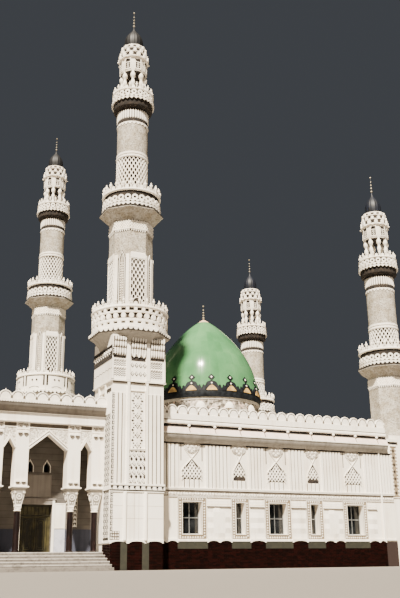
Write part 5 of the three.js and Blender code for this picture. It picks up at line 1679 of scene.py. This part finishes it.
# A slab of the dado's marble painted pale as the sunlight on it.
dado_sunlit = marble("pale_grey_marble_slab", "C4C6D2", "A3A6B4", 5.0)
PORCH_WALL, DOOR_X, DADO_FOOT, DADO_TOP = 7.6997, -13.8, 0.935, 2.14
dado = joined(slab(-16.39, -14.84, DADO_FOOT, DADO_TOP, 0, 0.02),
              slab(-12.2, -10.72, DADO_FOOT, DADO_TOP, 0, 0.02))
surround = joined(slab(-12.94, -12.81, DADO_FOOT, 3.68, 0, 0.06),
                  slab(-14.79, -14.66, DADO_FOOT, 3.68, 0, 0.06),
                  slab(-12.8, -12.2, 2.16, 3.5, 0, 0.02),
                  rib(rectangle(-12.76, -12.24, 2.2, 3.46), 0.03, 0.035, closed=True))
lancet = np.array([(0.17, 5.12), (0.17, 5.45), (0, 5.76), (-0.17, 5.45), (-0.17, 5.12)])
for side in (-1, 1):
    surround = joined(surround, rib(lancet * (1.15, 1) + (DOOR_X + side * 0.47, 0), 0.05, 0.04))
over_door = joined(slab(-14.79, -12.81, 3.42, 3.68, 0, 0.055),
                   slab(-14.85, -12.75, 3.68, 3.74, 0, 0.1),
                   slab(-14.5, -13.05, 3.77, 4.98, 0, 0.035),
                   rib(rectangle(-14.47, -13.08, 3.8, 4.95), 0.05, 0.055, closed=True))
# Grey standing in for the shade on the panel.
panel_shade_grey = lime_plaster("grey_cement_panel", "878079", "6E6761")
GRILLE_X, GRILLE_FOOT, GRILLE_TOP = -11.66, 2.26, 4.66
wedge = plate([(-0.09, -0.1), (0.09, -0.1), (0.0, 0.08)], (0.008, 1), (0.03, 0.9))
grille = joined(copies(wedge, GRILLE_X, np.arange(2.38, 4.6, 0.22)),
                copies(slab(-0.11, -0.09, GRILLE_FOOT, GRILLE_TOP, 0, 0.03), GRILLE_X),
                copies(slab(0.09, 0.11, GRILLE_FOOT, GRILLE_TOP, 0, 0.03), GRILLE_X))
gap = slab(GRILLE_X - 0.1, GRILLE_X + 0.1, GRILLE_FOOT, GRILLE_TOP, 0, 0.008)
slabs = slab(-12.8, -12.2, DADO_FOOT, DADO_TOP, 0, 0.025)
for suffix, shape, finish, slot in (
        ("dado", dado, blue_grey, "plaster"), ("marble_slabs", slabs, dado_sunlit, "marble"),
        ("door_surround", surround, plaster, "plaster"),
        ("panel_over_door", over_door, panel_shade_grey, "plaster"),
        ("grille", grille, plaster, "plaster"), ("grille_gap", gap, painted_shadow, "plaster")):
    put("porch_" + suffix, stand(shape, 0.0, PORCH_WALL), finish, slot)

# Door: an olive-gold painted metal frame with a closed panel over two leaves; the panel and
# the leaves are a darker copy of the paint that stands in for their shade. Each leaf is
# dressed on its front with a moulded rim and a tall round-topped panel, and turns with it.
olive = mottled("olive_gold_metal_paint", 0.45, 3.0, 6.0,
                [(0.35, "2E2B1A"), (0.6, "4A4428"), (0.8, "625B36")], Metallic=0.2)
# A darker copy of the olive paint: painted shade on the leaves and the transom.
olive_shaded = mottled("dark_olive_metal_paint", 0.45, 3.0, 6.0, [(0.35, "14120A"), (0.7, "262312")],
                     Metallic=0.2)
coat(olive, "door_frame")
transom = joined(rib(rectangle(-14.6, -13.0, 2.86, 3.36), 0.05, 0.03, closed=True),
                 copies(rib([(0, 2.9), (0, 3.32)], 0.03, 0.025), np.linspace(-14.4, -13.2, 7)))
put("door_transom", stand(transom, 0, 7.4), olive_shaded, "bronze")
LEAF_FACE = 7.355
tall_panel = round_headed(0.17, 1.12, 2.48, 0.15)
for node, body, middle in (("door_leaf_left", "left_leaf", -14.155),
                           ("door_leaf_right", "right_leaf", -13.445)):
    low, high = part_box(node)
    coat(olive_shaded, node)
    rim = rectangle(low.x + 0.035, high.x - 0.035, low.z + 0.04, high.z - 0.04)
    mouldings = joined(rib(tall_panel + (middle, 0), 0.035, 0.02, closed=True),
                       rib(rim, 0.05, 0.018, closed=True),
                       rib(tall_panel * (0.6, 0.86) + (middle, 0.25), 0.02, 0.015, closed=True),
                       slab(middle - 0.28, middle - 0.25, 1.1, 2.6, 0, 0.012),
                       slab(middle + 0.25, middle + 0.28, 1.1, 2.6, 0, 0.012))
    put(node + "_mouldings", stand(mouldings, 0, LEAF_FACE), olive, "bronze", body=body)

# The sizes that the model has in the solids and here, for comparison, and the end.
low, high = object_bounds()
{"cad": [list(cad_low), list(cad_high)], "visual": [list(low), list(high)]}
